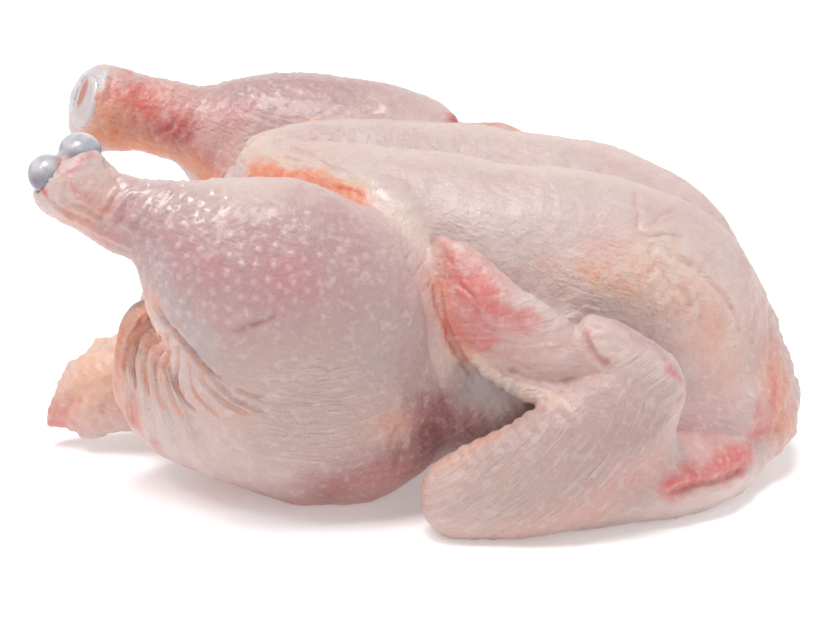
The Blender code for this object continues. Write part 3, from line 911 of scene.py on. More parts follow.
# The wrinkles and torn edges round the two hocks.
HOCK_CREASES = (
    Crease(((-94, -66.2, 95.6), (-88.5, -65.5, 100.9),
        (-85, -62.4, 104.8)), 0.9, -0.6, 0.3, ONLY_NEAR),
    Crease(((-91.6, -66.5, 94.9), (-86.2, -66.7, 99.6),
        (-82, -63.6, 104.3)), 0.9, 0.6, 0.4, ONLY_NEAR),
    Crease(((-88.8, -67, 94), (-83.1, -68, 98.7), (-79, -64.8, 103.7)), 0.9, -0.5, 0.3, ONLY_NEAR),
    Crease(((-96.3, -65.9, 96.8), (-92.3, -65.8, 100.9),
        (-88.3, -62.3, 105.6)), 0.9, 0.5, 0.4, ONLY_NEAR),
    Crease(((-96.5, -55, 113.5), (-92.1, -58.1, 110.7),
        (-87.5, -62.3, 106.3)), 1.0, 0.5, 0.4, ONLY_NEAR),
    Crease(((-98.9, -65.9, 106.9), (-95.1, -65.7, 105.3),
        (-89.7, -65, 102.5)), 2.0, -0.7, 0.0, ONLY_NEAR),
    Crease(((-106, -65, 99), (-98.1, -64.6, 93.7), (-90, -65.8, 89.9),
        (-84, -66.5, 87.5)), 1.1, -0.6, 0.4, ONLY_NEAR),
    Crease(((-104.7, -66.5, 109.7), (-104, -67.2, 103.1), (-97.7, -66.2, 99.1),
        (-91.8, -66.5, 95.1)), 0.9, 0.6, 0.5, ONLY_NEAR),
    Crease(((-108.4, -64, 104), (-106, -65.5, 101), (-101, -65.5, 97.5)), 0.9, 0.7, 0.5, ONLY_NEAR),
    Crease(((-84, -68.5, 99.5), (-84.5, -69.8, 94), (-83, -70.8, 89)), 0.9, 0.5, 0.4, ONLY_NEAR),
    Crease(((-87, -66.5, 100.5), (-88, -67, 95.5), (-87, -67.5, 91)), 0.9, 0.5, 0.4, ONLY_NEAR),
    Crease(((-81.4, -41.5, 106.3), (-82.8, -40.3, 101.7),
        (-89.8, -40.9, 98.7)), 1.0, 0.8, 0.5, ONLY_FAR),
    Crease(((-96.9, -48.4, 116.7), (-90.5, -50.1, 115.8), (-82.5, -47.8, 112.7),
        (-75.5, -45.8, 110.3)), 1.0, 0.6, 0.4, ONLY_FAR),
    Crease(((-106.2, -52.7, 120.1), (-105.8, -45.2, 116.7), (-107.5, -41.6, 112.2),
        (-113, -42.9, 108.1), (-116.9, -47.7, 104.3)), 1.1, -0.7, 0.5, ONLY_FAR),
)

CREASES = (
    *BREAST_CREASES, *RIBBON_CREASES, *FAN_CREASES, *THIGH_CREASES, *WING_CREASES, *HOCK_CREASES
)

# Marks that shape the mesh and aren't read by the skin's finish.
SHAPING = ("puffy", "finely")

# Patches and bands of each tone and grain, by name. Some are painted shade and some are painted
# highlights, as noted above each.
MARKS: dict[str, tuple[Mark, ...]] = {
    "dusk": (
        Stain((-30, -84, 52), (50, 30, 56), 0.95),
        Stain((48, -90, 28), (50, 20, 34), 1.15),
        Stain((-88, -64, 88), (18, 14, 12), 0.6),
        Stain((-40, -50, 108), (44, 24, 18), 0.6, ONLY_FAR),
        Stain((112, -20, 40), (16, 40, 40), 0.5),
    ),
    "mauve": (
        Streak(((-79.1, -71.9, 98.1), (-63.4, -82.5, 91.8), (-49.7, -84.8, 93.2),
            (-25.1, -76.1, 96.2)), 17.0, 0.65),
        Stain((-50, -84, 80), (36, 20, 20), 0.75),
        Stain((-10, -76, 72), (22, 16, 34), 0.5),
        Stain((94, -54, 27), (18, 12, 18), 0.6),
        Stain((14, -66, 24), (14, 12, 16), 0.55),
        # Painted shade along the underside of the thigh.
        Stain((-40, -60, 8), (46, 30, 10), 0.35),
        Stain((-45, -46, 112), (38, 18, 14), 0.7, ONLY_FAR),
        Stain((-88, -64, 96), (10, 12, 12), 0.25, ONLY_NEAR),
        Streak(((62, -74.4, 66), (72.9, -75.4, 59.4), (78.1, -79.2, 51.6)), 3.2, 0.55),
        Stain((60, -88, 38), (30, 16, 20), 0.35),
        Stain((-78, -72, 86), (20, 14, 18), 0.6),
    ),
    # Painted shade: a dark plum tone where the thigh turns away under the flank, in the hollow
    # between thigh and wing, and along the underside.
    "plum": (
        Streak(((-24, -70.9, 11.7), (-6.5, -68.3, 16.3), (5, -63.6, 24.5),
            (8.5, -66.9, 36.5)), 13.0, 0.95),
        Streak(((14, -66, 22), (26.4, -68.7, 32.5), (37.6, -69.3, 37)), 5.0, 0.35),
        Stain((-48, -50, 4), (40, 30, 8), 0.4),
    ),
    "cream": (
        Streak(((-48, 0, 104), (-51, -12, 102), (-39, -27, 102), (-18, -40, 100)), 7.0, 0.8),
        # Painted highlight at the middle of the near ankle.
        Stain((-98, -62, 103.5), (12, 10, 9), 0.6, ONLY_NEAR),
        Streak(((-14, -44, 99), (1, -56, 89), (6, -65, 75), (9, -67, 60), (13, -66, 46)), 6.5, 0.6),
        Stain((-86, -48, 42), (14, 16, 26), 0.35),
        # Painted highlight along the top ridge of the breast.
        Streak(((-38, -20, 105), (0, -22, 106), (40, -24, 103), (75, -22, 95)), 10.0, 0.4),
        Stain((76, -49, 76), (16, 9, 16), 0.3),
        Streak(((52, -78, 64), (60, -82, 56)), 5.0, 0.35),
        Streak(((17, -67.9, 56), (26.1, -71.9, 48.6), (32.1, -74.5, 46), (39.5, -79.5, 44.5),
            (47.3, -84.9, 45.1)), 3.6, 0.85, ONLY_NEAR),
        Streak(((-106.2, -52.7, 120.1), (-107.5, -41.6, 112.2),
            (-116.9, -47.7, 104.3)), 2.0, 0.8, ONLY_FAR),
        Streak(((78, -77, 40), (79, -79, 50)), 2.6, 0.5),
        # Painted highlight on the top of the near drumstick.
        Stain((-56, -72, 106), (26, 22, 8), 0.3),
    ),
    "blood": (
        # Painted crease shade: a thin dark-red line in the crease between the ribbon and the hand.
        Streak(((6.8, -66.3, 71.5), (9, -66.8, 64), (11.5, -66.4, 57.1),
            (14.8, -65.5, 52)), 1.4, 0.55, ONLY_NEAR),
        Streak(((7.8, -60.3, 88.5), (9.9, -64.4, 84.9), (12.3, -67.4, 81),
            (15.3, -70.7, 77.2)), 3.6, 0.65, ONLY_NEAR),
        Streak(((19.8, -72.6, 74), (24.3, -74, 71.3), (28.8, -75, 68.4),
            (33.3, -75.6, 67.3)), 4.6, 0.75, ONLY_NEAR),
        Streak(((12.4, -67.6, 60.7), (16.9, -69.4, 59.7), (22, -71.5, 59)), 4.0, 0.55, ONLY_NEAR),
        Stain((18, -70, 69), (14, 9, 14), 0.6, ONLY_NEAR),
        Streak(((79.1, -76.7, 14.6), (85, -73.8, 17.1), (91.7, -69.6, 17.3), (100.5, -61.3, 17.3),
            (108, -51.7, 18.9)), 5.5, 0.85),
        Streak(((85, -72, 14.6), (94, -67, 14), (104, -57, 13.6)), 3.0, 0.6),
        Stain((110, -44, 24), (5, 5, 8), 0.55),
        Streak(((117.3, -31.6, 32.4), (114.7, -38.3, 26.2), (112.5, -40, 20),
            (107.4, -48, 16.8)), 3.0, 0.7),
        Streak(((-99.2, -43.5, 113.5), (-94, -42.6, 110.3), (-90.6, -40.8, 105.4),
            (-87.2, -40.5, 102), (-80, -40.4, 101.1)), 6.0, 0.7, ONLY_FAR),
        Streak(((-83.8, -40.3, 99.3), (-77.3, -41.2, 94), (-66, -38, 88),
            (-56, -36, 84)), 4.0, 0.5, ONLY_FAR),
        Streak(((-84, -40.3, 101.5), (-76, -41.2, 99.5)), 3.0, 0.6, ONLY_FAR),
        Stain((-99.9, -51.9, 119), (3, 3, 2.5), 0.7, ONLY_FAR),
        Stain((-60, -42, 106), (9, 8, 6), 0.35, ONLY_FAR),
        Streak(((-112, -63, 108), (-111, -65.9, 106.5),
            (-110.5, -65.8, 103.7)), 1.9, 0.95, ONLY_NEAR),
        Streak(((-107.5, -66.1, 110.5), (-104.7, -66.2, 111.5), (-101, -64, 113.7),
            (-97.7, -59.1, 115.3)), 1.8, 0.5, ONLY_NEAR),
        Stain((-105, -56, 112), (3.6, 6, 4), 0.8, ONLY_NEAR),
        Streak(((-101.8, -66.8, 109.5), (-98.1, -66.9, 102.3),
            (-91.7, -67, 98.3)), 1.6, 0.35, ONLY_NEAR),
        Stain((-120, 0, 12), (6, 8, 6), 0.6),
        Streak(((-93, -30, 36), (-92, -28, 26), (-90, -30, 16)), 7.0, 0.75),
        Streak(((-86.6, -48.4, 30.4), (-88.2, -44.5, 24.6), (-84.1, -47.8, 17.4)), 4.5, 0.45),
        # Painted shade under the overhanging lip.
        Streak(LIP_UNDERSIDE, 2.2, 0.4),
        Stain((-94, -16, 27), (6, 20, 13), 0.9),
        # Painted crease shade: a thin dark-red line in a crease on the side of the breast.
        Streak(((97.5, -43.8, 64.7), (100.4, -42.6, 59.4),
            (102.4, -41, 53.9)), 1.0, 0.8, ONLY_NEAR),
        Streak(((76.2, -79.4, 54.1), (80.2, -79.1, 50.1), (81.9, -77.1, 43)), 2.2, 0.6),
        # Painted crease shade in the thumb's fold.
        Streak(THUMB_FOLD, 1.5, 0.55),
        Streak(((13, -46.5, 103.5), (18, -45, 103.5), (27, -41, 103.5)), 3.0, 0.5, ONLY_FAR),
        # Painted reddish shade on the underside, near the floor.
        Stain((-70, -44, 4), (16, 20, 8), 0.6),
        Streak(((-65, -83, 89), (-58, -86, 86)), 4.0, 0.2, ONLY_NEAR),
        Stain((-38, -86, 84), (12, 8, 10), 0.22, ONLY_NEAR),
    ),
    "pink": (
        Stain((-117, -4, 13), (10, 10, 9), 0.85),
        Stain((-94, -26, 24), (9, 16, 14), 0.7),
        Streak(((13, -46.5, 103.5), (22, -43.5, 103.5), (36, -35, 103)), 4.0, 0.7, ONLY_FAR),
        Stain((-94, -46, 104), (26, 14, 16), 1.0, ONLY_FAR),
        Stain((-88, -41, 104), (14, 8, 10), 0.5, ONLY_FAR),
        Stain((-68, -44, 92), (24, 14, 14), 0.7, ONLY_FAR),
        Streak(((-91.1, -44.6, 59.4), (-94.1, -43, 47.9), (-94.8, -40.3, 37),
            (-92.1, -44.2, 28)), 5.0, 0.5),
        Stain((-80, -56, 57), (10, 16, 9), 0.5),
        # Painted shade under the overhanging lip.
        Streak(((-51, -13, 101.5), (-46, -22, 100.5), (-38, -29.5, 100),
            (-26, -37.5, 99.3)), 4.4, 0.7),
        Stain((14, -66, 78), (14, 12, 18), 0.7, ONLY_NEAR),
        Stain((36, -74, 58), (20, 12, 12), 0.35, ONLY_NEAR),
        Stain((116, -28, 30), (12, 16, 24), 0.55),
        Stain((112, -30, 60), (12, 18, 20), 0.3),
        Stain((92, -64, 20), (20, 14, 9), 0.5),
        Streak(((-103.9, -65.6, 98), (-98.1, -64.6, 93.7),
            (-92, -65.8, 89.9)), 4.0, 0.45, ONLY_NEAR),
        Stain((-98, -60, 102), (16, 14, 13), 0.3, ONLY_NEAR),
        # Painted reddish shade along the underside, where the bird rests on the floor.
        Stain((-30, -30, -3), (110, 90, 9), 0.7),
        Stain((-2, -66, 12), (26, 16, 12), 0.4),
        Streak(((30, -84, 8), (60, -88, 14), (74, -82, 24)), 8.0, 0.35),
        Streak(((60, -50, 78), (84, -46, 62), (96, -42, 40)), 10.0, 0.3),
    ),
    "gristle": (
        Stain((-115.6, -50, 110.3), (7.5, 12, 13), 1.6, ONLY_FAR),
        Streak(((-108, -46, 121), (-109, -44, 116), (-112, -44, 111.5)), 3.4, 1.4, ONLY_FAR),
    ),
    "fat": (
        Stain((-104, -6, 32), (16, 16, 11), 0.8),
        Stain((-106, -12, 24), (14, 14, 12), 0.35),
        Stain((76, -49, 74), (20, 11, 18), 0.4),
        Stain((58, -54, 76), (22, 8, 10), 0.35),
        Stain((98, -46, 52), (14, 12, 20), 0.35),
        Streak(((-48, -2, 103), (-50, -13, 102), (-38, -27, 102)), 6.0, 0.2),
    ),
    "amber": (
        # Painted crease shade: thin orange lines in the valleys of the fan's folds.
        *(Streak(crease.path, 1.2, 0.6) for crease in FAN_CREASES[:9]),
        Stain((-84, -56, 52), (12, 18, 14), 0.35),
        Stain((-106, -10, 24), (14, 14, 14), 0.4),
        # Painted shade under the overhanging lip.
        Streak(LIP_UNDERSIDE, 4.6, 1.2),
        Stain((-104, -44, 104), (14, 10, 12), 0.7, ONLY_FAR),
        Stain((-98, -64, 99), (10, 6, 6), 0.2, ONLY_NEAR),
        Streak(((-92.7, -44, 58), (-95, -42, 48), (-95.5, -40, 38), (-93, -43, 28)), 2.4, 0.7),
        # Painted crease shade along the deepest fold of the fan.
        Streak(((-85.8, -46.3, 55.1), (-87.2, -46.5, 48.9), (-87.8, -47.1, 42.8),
            (-87, -49.1, 38)), 1.8, 0.6),
        Stain((-94, -28, 24), (7, 14, 12), 0.5),
        Streak(((-79.7, -73.4, 72.6), (-88, -46.3, 58.3), (-92.3, -40.9, 48.3),
            (-92.7, -42.3, 38.5), (-88.1, -45.1, 26.8)), 6.0, 0.4),
        Stain((-81, -58, 60), (8, 16, 10), 0.5),
        Streak(((52.5, -54.7, 79.2), (60, -55.5, 74.5), (68, -55.8, 70)), 3.5, 0.25),
        Streak(((85.7, -50.4, 63.7), (94.2, -47.3, 57.6)), 4.5, 0.25),
        Stain((90, -50, 50), (12, 8, 8), 0.2),
        Stain((50.5, -68, 66.5), (2.4, 4, 2.4), 0.9, ONLY_NEAR),
        Streak(((7.8, -65.4, 76.4), (9.6, -67.8, 67.1), (13, -67.9, 58.9),
            (17.4, -66.5, 52.5)), 3.6, 0.55, ONLY_NEAR),
        Streak(((-112, -41, 103), (-104.5, -40.9, 98.4), (-98.2, -44.2, 94.1),
            (-89.7, -44.8, 92.2)), 7.0, 0.7, ONLY_FAR),
        Streak(((-96, -44, 93), (-86, -44.8, 90), (-76, -42, 86.5),
            (-62, -40, 83.5)), 6.0, 1.1, ONLY_FAR),
        Stain((116, -30, 26), (10, 12, 18), 0.45),
        Stain((-115, 0, 20), (10, 10, 10), 0.3),
        Stain((-8, -72, 34), (10, 8, 8), 0.35),
        Streak(((2.3, -81.4, 16.4), (10.8, -83.9, 25.5), (22.9, -82.2, 33.3),
            (39.6, -76.7, 41.9)), 3.0, 0.35),
    ),
    "blue": (
        Stain((21, -66, 43), (14, 9, 9), 0.8),
        Stain((-10, -80, 62), (12, 10, 18), 0.35),
        Stain((-92, -10, 45), (5, 10, 6), 0.3),
        Streak(((-79, -75, 84), (-72, -80, 72), (-62, -86, 63)), 7.0, 0.5),
        Stain((88.5, -58, 38), (5, 8, 6), 0.7),
    ),
    "pimples": (
        Stain((-56, -78, 86), (40, 28, 23), 1.0),
        Stain((-72, -76, 74), (14, 12, 16), 0.9),
        Stain((-70, -64, 102), (22, 20, 14), 0.8),
        Stain((-18, -72, 88), (26, 16, 16), 0.5),
        Stain((-42, -48, 112), (36, 24, 12), 0.6, ONLY_FAR),
        Stain((108, -38, 52), (9, 12, 26), 0.55),
        Stain((94, -64, 18), (14, 10, 6), 0.7),
    ),
    "wet": (
        Stain((-65, -70, 103), (12, 12, 7), 0.8),
        Stain((-84, -62, 102), (10, 10, 8), 0.5),
        Stain((-11, -41, 102), (5, 14, 8), 0.5),
        Stain((-104, -55, 108), (10, 12, 10), 0.6),
        Stain((-80, -60, 57), (8, 16, 12), 0.9),
        Stain((-60, -44, 112), (26, 12, 8), 0.2),
    ),
    "finely": (
        Stain((50, -66, 68), (16, 16, 14), 1.0, ONLY_NEAR),
        Stain((-58, -78, 90), (48, 28, 28), 1.0, ONLY_NEAR),
        Stain((-100, -58, 103), (24, 18, 20), 1.0),
        Stain((-84, -50, 45), (22, 26, 36), 1.0, ONLY_NEAR),
        Stain((28, -72, 62), (34, 20, 34), 1.0, ONLY_NEAR),
        Stain((80, -46, 74), (22, 18, 28), 1.0, ONLY_NEAR),
        Stain((-30, -28, 102), (36, 26, 12), 1.0, ONLY_NEAR),
        Stain((94, -64, 16), (24, 16, 12), 1.0, ONLY_NEAR),
    ),
    "puffy": (
        Stain((79, -49, 70), (15, 10, 17), 0.9),
        Stain((-4, -68, 28), (15, 10, 20), 0.8),
    ),
    "lobes": (
        Stain((78, -49, 72), (20, 12, 20), 1.0),
        Stain((58, -53, 76), (24, 9, 10), 0.9),
        Stain((100, -44, 50), (14, 12, 22), 0.5),
        Stain((2, -84, 22), (14, 10, 14), 0.3),
    ),
}


def mesh_rows(mesh: Mesh, what: str = "co") -> Array:
    """A row for each vertex: its place, or the way that it faces if what is "normal"."""
    rows = np.empty(len(mesh.vertices) * 3, np.float32)
    mesh.vertices.foreach_get(what, rows)
    return rows.reshape(-1, 3)


def mesh_edges(mesh: Mesh) -> tuple[Array, Array]:
    """The first and the second vertex of each edge."""
    ends = np.empty(len(mesh.edges) * 2, np.int32)
    mesh.edges.foreach_get("vertices", ends)
    first, second = ends.reshape(-1, 2).T
    return first, second


def stations_of(places: Array) -> Array:
    """Places in metres as the millimetres of the formulas."""
    return (places / MM + (MIDDLE_X, 0.0, 0.0)).astype(np.float32)


def store(mesh: Mesh, name: str, values: Array) -> None:
    """Keep a number for each vertex under that name."""
    kept = mesh.attributes.get(name) or mesh.attributes.new(name, "FLOAT", "POINT")
    kept.data.foreach_set("value", values.astype(np.float32))


def show_object(name: str, data: Any) -> bpy.types.Object:
    """Link a new object of that mesh, lamp or lens to the scene."""
    made = bpy.data.objects.new(name, data)
    bpy.context.scene.collection.objects.link(made)
    return made


def triangles_in(mesh: Mesh) -> int:
    """How many triangles a mesh's faces make."""
    return sum(len(face.vertices) - 2 for face in mesh.polygons)


def applied(made: bpy.types.Object) -> None:
    """Turn an object's modifiers into its plain mesh."""
    graph = bpy.context.evaluated_depsgraph_get()
    mesh = bpy.data.meshes.new_from_object(made.evaluated_get(graph))
    made.modifiers.clear()
    made.data = mesh


@dataclass(frozen=True)
class SurfaceGrid:
    """Meshes the surface where a distance field is zero.

    The field is worked out in full only in blocks of the grid whose corners lie within margin
    blocks of the surface. The band is how many steps of distance the mesher is given.
    """

    low: Place
    high: Place
    step: float
    block: int = 4
    margin: float = 1.5
    band: float = 3.0
    chunk: int = 400000

    def values(self, field: Field, counts: list[int]) -> Array:
        """The field on the grid, in full only in the blocks that the surface crosses."""
        block, step = self.block, self.step
        coarse = [count // block + 1 for count in counts]
        axes = [
            start + np.arange(n, dtype=np.float32) * step * block
            for start, n in zip(self.low, coarse)
        ]
        corners = np.stack([axis.ravel() for axis in np.meshgrid(*axes, indexing="ij")], axis=1)
        values = field(corners).reshape(coarse)
        shape = [n - 1 for n in coarse]
        near, total = np.zeros(shape, bool), np.zeros(shape, np.float32)
        for i, j, k in np.ndindex(2, 2, 2):
            corner = values[i : shape[0] + i, j : shape[1] + j, k : shape[2] + k]
            near |= np.abs(corner) < self.margin * step * block
            total += corner / 8
        grid, mask = (
            rough.repeat(block, 0).repeat(block, 1).repeat(block, 2) for rough in (total, near)
        )
        places = np.argwhere(mask).astype(np.float32) * np.float32(step)
        places = places + np.array(self.low, np.float32)
        parts = np.array_split(places, max(1, len(places) // self.chunk))
        grid[mask] = np.concatenate([field(part) for part in parts])
        return grid

    def mesh(self, name: str, field: Field) -> Mesh:
        """Make the mesh, in metres.

        Args:
            name: what to call it.
            field: the distance field.

        Returns:
            A closed mesh of quads that face outwards.
        """
        block = self.block
        spans = [high - low for low, high in zip(self.low, self.high)]
        counts = [block * math.ceil(span / (self.step * block)) for span in spans]
        values = np.clip(self.values(field, counts) / self.step, -self.band, self.band)
        grid = openvdb.FloatGrid(self.band)
        grid.copyFromArray(values.astype(np.float32))
        points, quads = grid.convertToQuads(0.0)
        points = (points * self.step + np.array(self.low) - (MIDDLE_X, 0.0, 0.0)) * MM
        mesh = bpy.data.meshes.new(name)
        mesh.from_pydata(points.tolist(), [], quads.tolist())
        return mesh


@dataclass(frozen=True)
class SkinFan:
    """The fan of skin folds that starts where the drumstick presses on the thigh.

    The folds radiate from the pinch (x, z). Angles are in degrees; past the first of bending they
    turn with the distance from the pinch beyond straight.
    """

    pinch: Span = (-80.0, 61.0)
    pitch: float = 17.0
    depth: float = 0.9
    bending: Span = (60.0, 145.0)
    bend: float = 1.5
    straight: float = 15.0
    reaches: Window = Window(6, 16, 36, 56)
    angles: Window = Window(45, 75, 125, 145)
    outer: Span = (24.0, 36.0)

    def at(self, points: Array) -> tuple[Array, Array, Array]:
        """Place points in the fan.

        Args:
            points: where to measure, with the leg's side at -Y.

        Returns:
            The angle round the pinch, the distance from it, and how much of the fan shows.
        """
        dx, dz = points[:, 0] - self.pinch[0], points[:, 2] - self.pinch[1]
        reach = np.hypot(dx, dz)
        angle = np.degrees(np.arctan2(-dz, dx))
        turned = self.bend * smooth_step(*self.bending, angle)
        angle = angle + turned * (reach - self.straight)
        shown = self.angles.limit(angle, self.reaches.limit(reach))
        return angle, reach, shown * smooth_step(*self.outer, np.abs(points[:, 1]))

    def hollows(self, points: Array) -> Array:
        """How far the skin sinks in between the folds."""
        angle, _, shown = self.at(points)
        return self.depth * shown * (0.5 + 0.5 * wave(angle, self.pitch))


@dataclass(frozen=True)
class AnkleRings:
    """The fine wrinkles round a cut ankle, along an axis that points out of the leg."""

    axis: Place = (-0.83, 0, 0.56)
    from_ankle: Span = (-20.0, -6.0)
    above: Span = (78.0, 86.0)
    slant: float = 0.4
    sway: float = 1.6
    swaying: Ripple = Ripple(9, 16, 61)
    depth: float = 0.2
    pitch: float = 3.1

    def relief(self, points: Array, ankle: Station) -> Array:
        """How far the skin moves outwards round that ankle."""
        axis = np.array(self.axis, np.float32)
        along = (points - np.array(ankle[:3], np.float32)) @ axis
        shown = smooth_step(*self.from_ankle, along) * smooth_step(*self.above, points[:, 2])
        slanted = along + self.slant * (points[:, 2] - ankle[2])
        bent = slanted + self.sway * self.swaying.at(points)
        return -self.depth * shown * np.power(0.5 + 0.5 * wave(bent, self.pitch), 2)


@dataclass(frozen=True)
class SkinFlow:
    """Which way the fine wrinkles of the skin run, and how strong they are.

    They follow the folds of the fan, circle the thigh round its swirl (x, z), and cross the wing.
    Elsewhere they lie level, with a slant. Each pair of numbers is a range over which the wrinkles
    of a part start or fade out.
    """

    fan_radius: float = 26.0
    near_fan: Span = (0.05, 0.3)
    swirl: Span = (-29.0, 88.0)
    swirl_radius: float = 45.0
    thigh: Stain = Stain((-26, -78, 38), (52, 30, 46), 0.8)
    outer: Span = (52.0, 62.0)
    wrist: Span = (52.0, 62.0)
    hand_width: Span = (9.0, 18.0)
    hand_strength: float = 0.9
    flat_width: Span = (14.0, 24.0)
    flat_strength: float = 0.8
    wing_skew: float = 0.35
    plain_strength: float = 0.4
    plain_slant: float = 0.3
    lead: Span = (0.12, 0.45)

    def at(self, points: Array, fan: SkinFan, wing: Wing) -> tuple[Array, Array, Array]:
        """Find the way of the wrinkles. The part whose wrinkles are strongest has its way.

        Args:
            points: the skin of one side, with that side at -Y.
            fan: the fan of skin folds.
            wing: the wing of that side.

        Returns:
            Millimetres across the wrinkles, millimetres along them, and how strong they are.
        """
        x, z = points[:, 0], points[:, 2]
        angle, reach, shown = fan.at(points)
        dx, dz = x - self.swirl[0], z - self.swirl[1]
        thigh = self.thigh.at(points) * (1.0 - smooth_step(*self.near_fan, shown))
        hand_along, hand_up, flat_along, flat_up = wing.lying(points)
        outer = smooth_step(*self.outer, -points[:, 1])
        hand = outer * (1.0 - smooth_step(*self.hand_width, np.abs(hand_up)))
        hand = hand * (1.0 - smooth_step(*self.wrist, x))
        flat = outer * (1.0 - smooth_step(*self.flat_width, np.abs(flat_up)))
        plain = np.full(len(points), self.plain_strength, np.float32)
        layers = (
            (plain, z + self.plain_slant * x, x),
            (shown, np.radians(angle) * self.fan_radius, reach),
            (thigh, np.hypot(dx, dz), np.arctan2(dx, -dz) * self.swirl_radius),
            (self.hand_strength * hand, hand_up + self.wing_skew * hand_along, hand_along),
            (self.flat_strength * flat, flat_up - self.wing_skew * flat_along, flat_along),
        )
        strength, across, along = (layer.astype(np.float32) for layer in layers[0])
        runner_up = np.zeros(len(points), np.float32)
        for share, first, second in layers[1:]:
            over = share > strength
            runner_up = np.where(over, strength, np.maximum(runner_up, share))
            pairs = ((share, strength), (first, across), (second, along))
            strength, across, along = (np.where(over, new, old) for new, old in pairs)
        return across, along, smooth_step(*self.lead, strength - runner_up) * strength


@dataclass
class Carcass:
    """The whole bird of skin and meat."""

    box: tuple[Place, Place]
    trunk: Trunk = field(default_factory=Trunk)
    legs: dict[Side, Leg] = field(
        default_factory=lambda: {Side.NEAR: NearLeg(), Side.FAR: FarLeg()}
    )
    wings: dict[Side, Wing] = field(
        default_factory=lambda: {
            Side.NEAR: Wing(NEAR_HAND, NEAR_HAND_RIM),
            Side.FAR: Wing(FAR_HAND, FAR_HAND_RIM),
        }
    )
    bones: tuple[ShankBone, ...] = ()
    fan: SkinFan = SkinFan()
    rings: AnkleRings = AnkleRings()
    flow: SkinFlow = SkinFlow()
    step: float = 0.8
    crease_fillet: float = 2.0
    flank_fillet: float = 5.0
    leg_fillet: float = 5.0
    joint_fillet: float = 8.0
    seat_fillet: float = 0.25
    rest_fillet: float = 1.0
    vent_skin: float = 4.2
    vent_axis: Place = (-0.86, 0, 0.51)
    vent_mouth: Place = (-78, 0, 68)
    vent_root: Place = (-56, 0, 60)
    vent_fillet: float = 3.0
    lumps: Ripple = Ripple(17, 34, 11)
    lump_height: float = 0.5
    middle: float = 6.0
    neck_end: Span = (106.0, 122.0)
    tail_end: Span = (95.0, 104.0)
    tail_top: Span = (46.0, 56.0)
    loose: Ripple = Ripple(9, 22, 21)
    crease_drift: Drift = Drift(8.0, 16.0, (31, 32, 33), 0.5)
    grain: Unevenness = Unevenness(
        ((0.09, Ripple(3.2, 7, 41, 9)), (0.14, Ripple(8, 18, 42, 9)))
    )
    end_folds: Unevenness = Unevenness(
        ((0.6, Ripple(6, 13, 51, 9)), (0.25, Ripple(3, 5, 52, 9)))
    )
    pucker: Ripple = Ripple(2.6, 5, 43, 9)
    pucker_height: float = 0.28
    tone_drifts: tuple[Drift, Drift] = (
        Drift(6.0, 14.0, (71, 72, 73), 1.0),
        Drift(2.5, 5.0, (74, 75, 76), 0.5),
    )
    tone_drift: float = 1.1
    # Where the painted shade inside the vent starts, and along which stretch of the bird it lies.
    raw_and_shade_from: Span = (0.6, 3.5)
    raw_and_shade_within: Span = (-86.0, -60.0)
    fold_rise: Span = (0.04, 0.6)
    fine_from: float = 0.55
    fine_facing: float = 0.45
    jump: float = 2.5
    slack: float = 0.5
    fades: tuple[float, ...] = (0.25, 0.5, 0.75)
    flank: Limb = Limb(
        (
            (-48, 0, 102.5, 4.5), (-52, -9, 100, 5), (-49, -18, 97.5, 5), (-39, -27, 97, 5),
            (-22, -36, 98, 5.5), (-8, -43, 94.5, 6), (-0.5, -51.5, 85.5, 6), (3, -57.5, 73, 6),
            (6, -60, 60, 6), (9.5, -60, 47, 7), (15, -57.5, 33, 8),
        ),
        steps=4,
    )
    cavity: Limb = Limb(
        (
            (-108, 0, 82, 22), (-70, 0, 69, 25), (-30, 0, 57, 28), (0, 0, 54, 21),
        ),
        thin_along=(0, 1, 0),
        thinness=0.84,
    )

    def distance(self, points: Array) -> Array:
        """Distances to the carcass with its body cavity and the seats of the shank bones."""
        body = self.trunk.distance(points)
        for side in Side:
            seen = side.seen(points)
            body = smooth_union(body, self.legs[side].distance(seen), self.leg_fillet)
            body = smooth_union(body, self.flank.distance(seen), self.flank_fillet)
            body = smooth_union(body, self.wings[side].distance(seen), self.crease_fillet)
        sleeve = self.cavity.distance(points, self.vent_skin)
        for place, turn in ((self.vent_mouth, 1.0), (self.vent_root, -1.0)):
            cut = turn * beyond_plane(points, place, self.vent_axis)
            sleeve = smooth_cut(sleeve, cut, self.vent_fillet)
        body = smooth_union(body, sleeve, self.joint_fillet)
        body = smooth_cut(body, self.cavity.distance(points), self.crease_fillet)
        body = body + self.fan.hollows(points)
        body = body + self.lump_height * self.lumps.at(points)
        for bone in self.bones:
            body = smooth_cut(body, bone.distance(bone.side.seen(points)), self.seat_fillet)
        return smooth_cut(body, points[:, 2], self.rest_fillet)

    def relief(self, points: Array, facing: Array) -> Array:
        """Work out how the skin departs from the smooth form.

        Args:
            points: places of the skin.
            facing: the directions that the skin faces there.

        Returns:
            How far each place stands out, in millimetres.
        """
        loose, drift = self.loose.at(points), self.crease_drift.at(points)
        total, pucker = self.grain.at(points), self.pucker.at(points)
        for side in Side:
            half = points[:, 1] * side.value < self.middle
            seen, faces = side.seen(points[half]), side.seen(facing[half])
            shifted = (seen + drift[half]).astype(np.float32)
            part = np.zeros(len(seen), np.float32)
            for crease in CREASES:
                if side in crease.sides:
                    part += crease.relief(shifted, faces)
            part += self.wings[side].relief(seen, loose[half])
            part += self.rings.relief(seen, self.legs[side].ankle)
            part += self.pucker_height * painted(MARKS["puffy"], side, seen) * pucker[half]
            total[half] += part
        below = 1.0 - smooth_step(*self.tail_top, points[:, 2])
        tail = smooth_step(*self.tail_end, -points[:, 0]) * below
        ends = smooth_step(*self.neck_end, points[:, 0]) + tail
        return total + ends * self.end_folds.at(points)

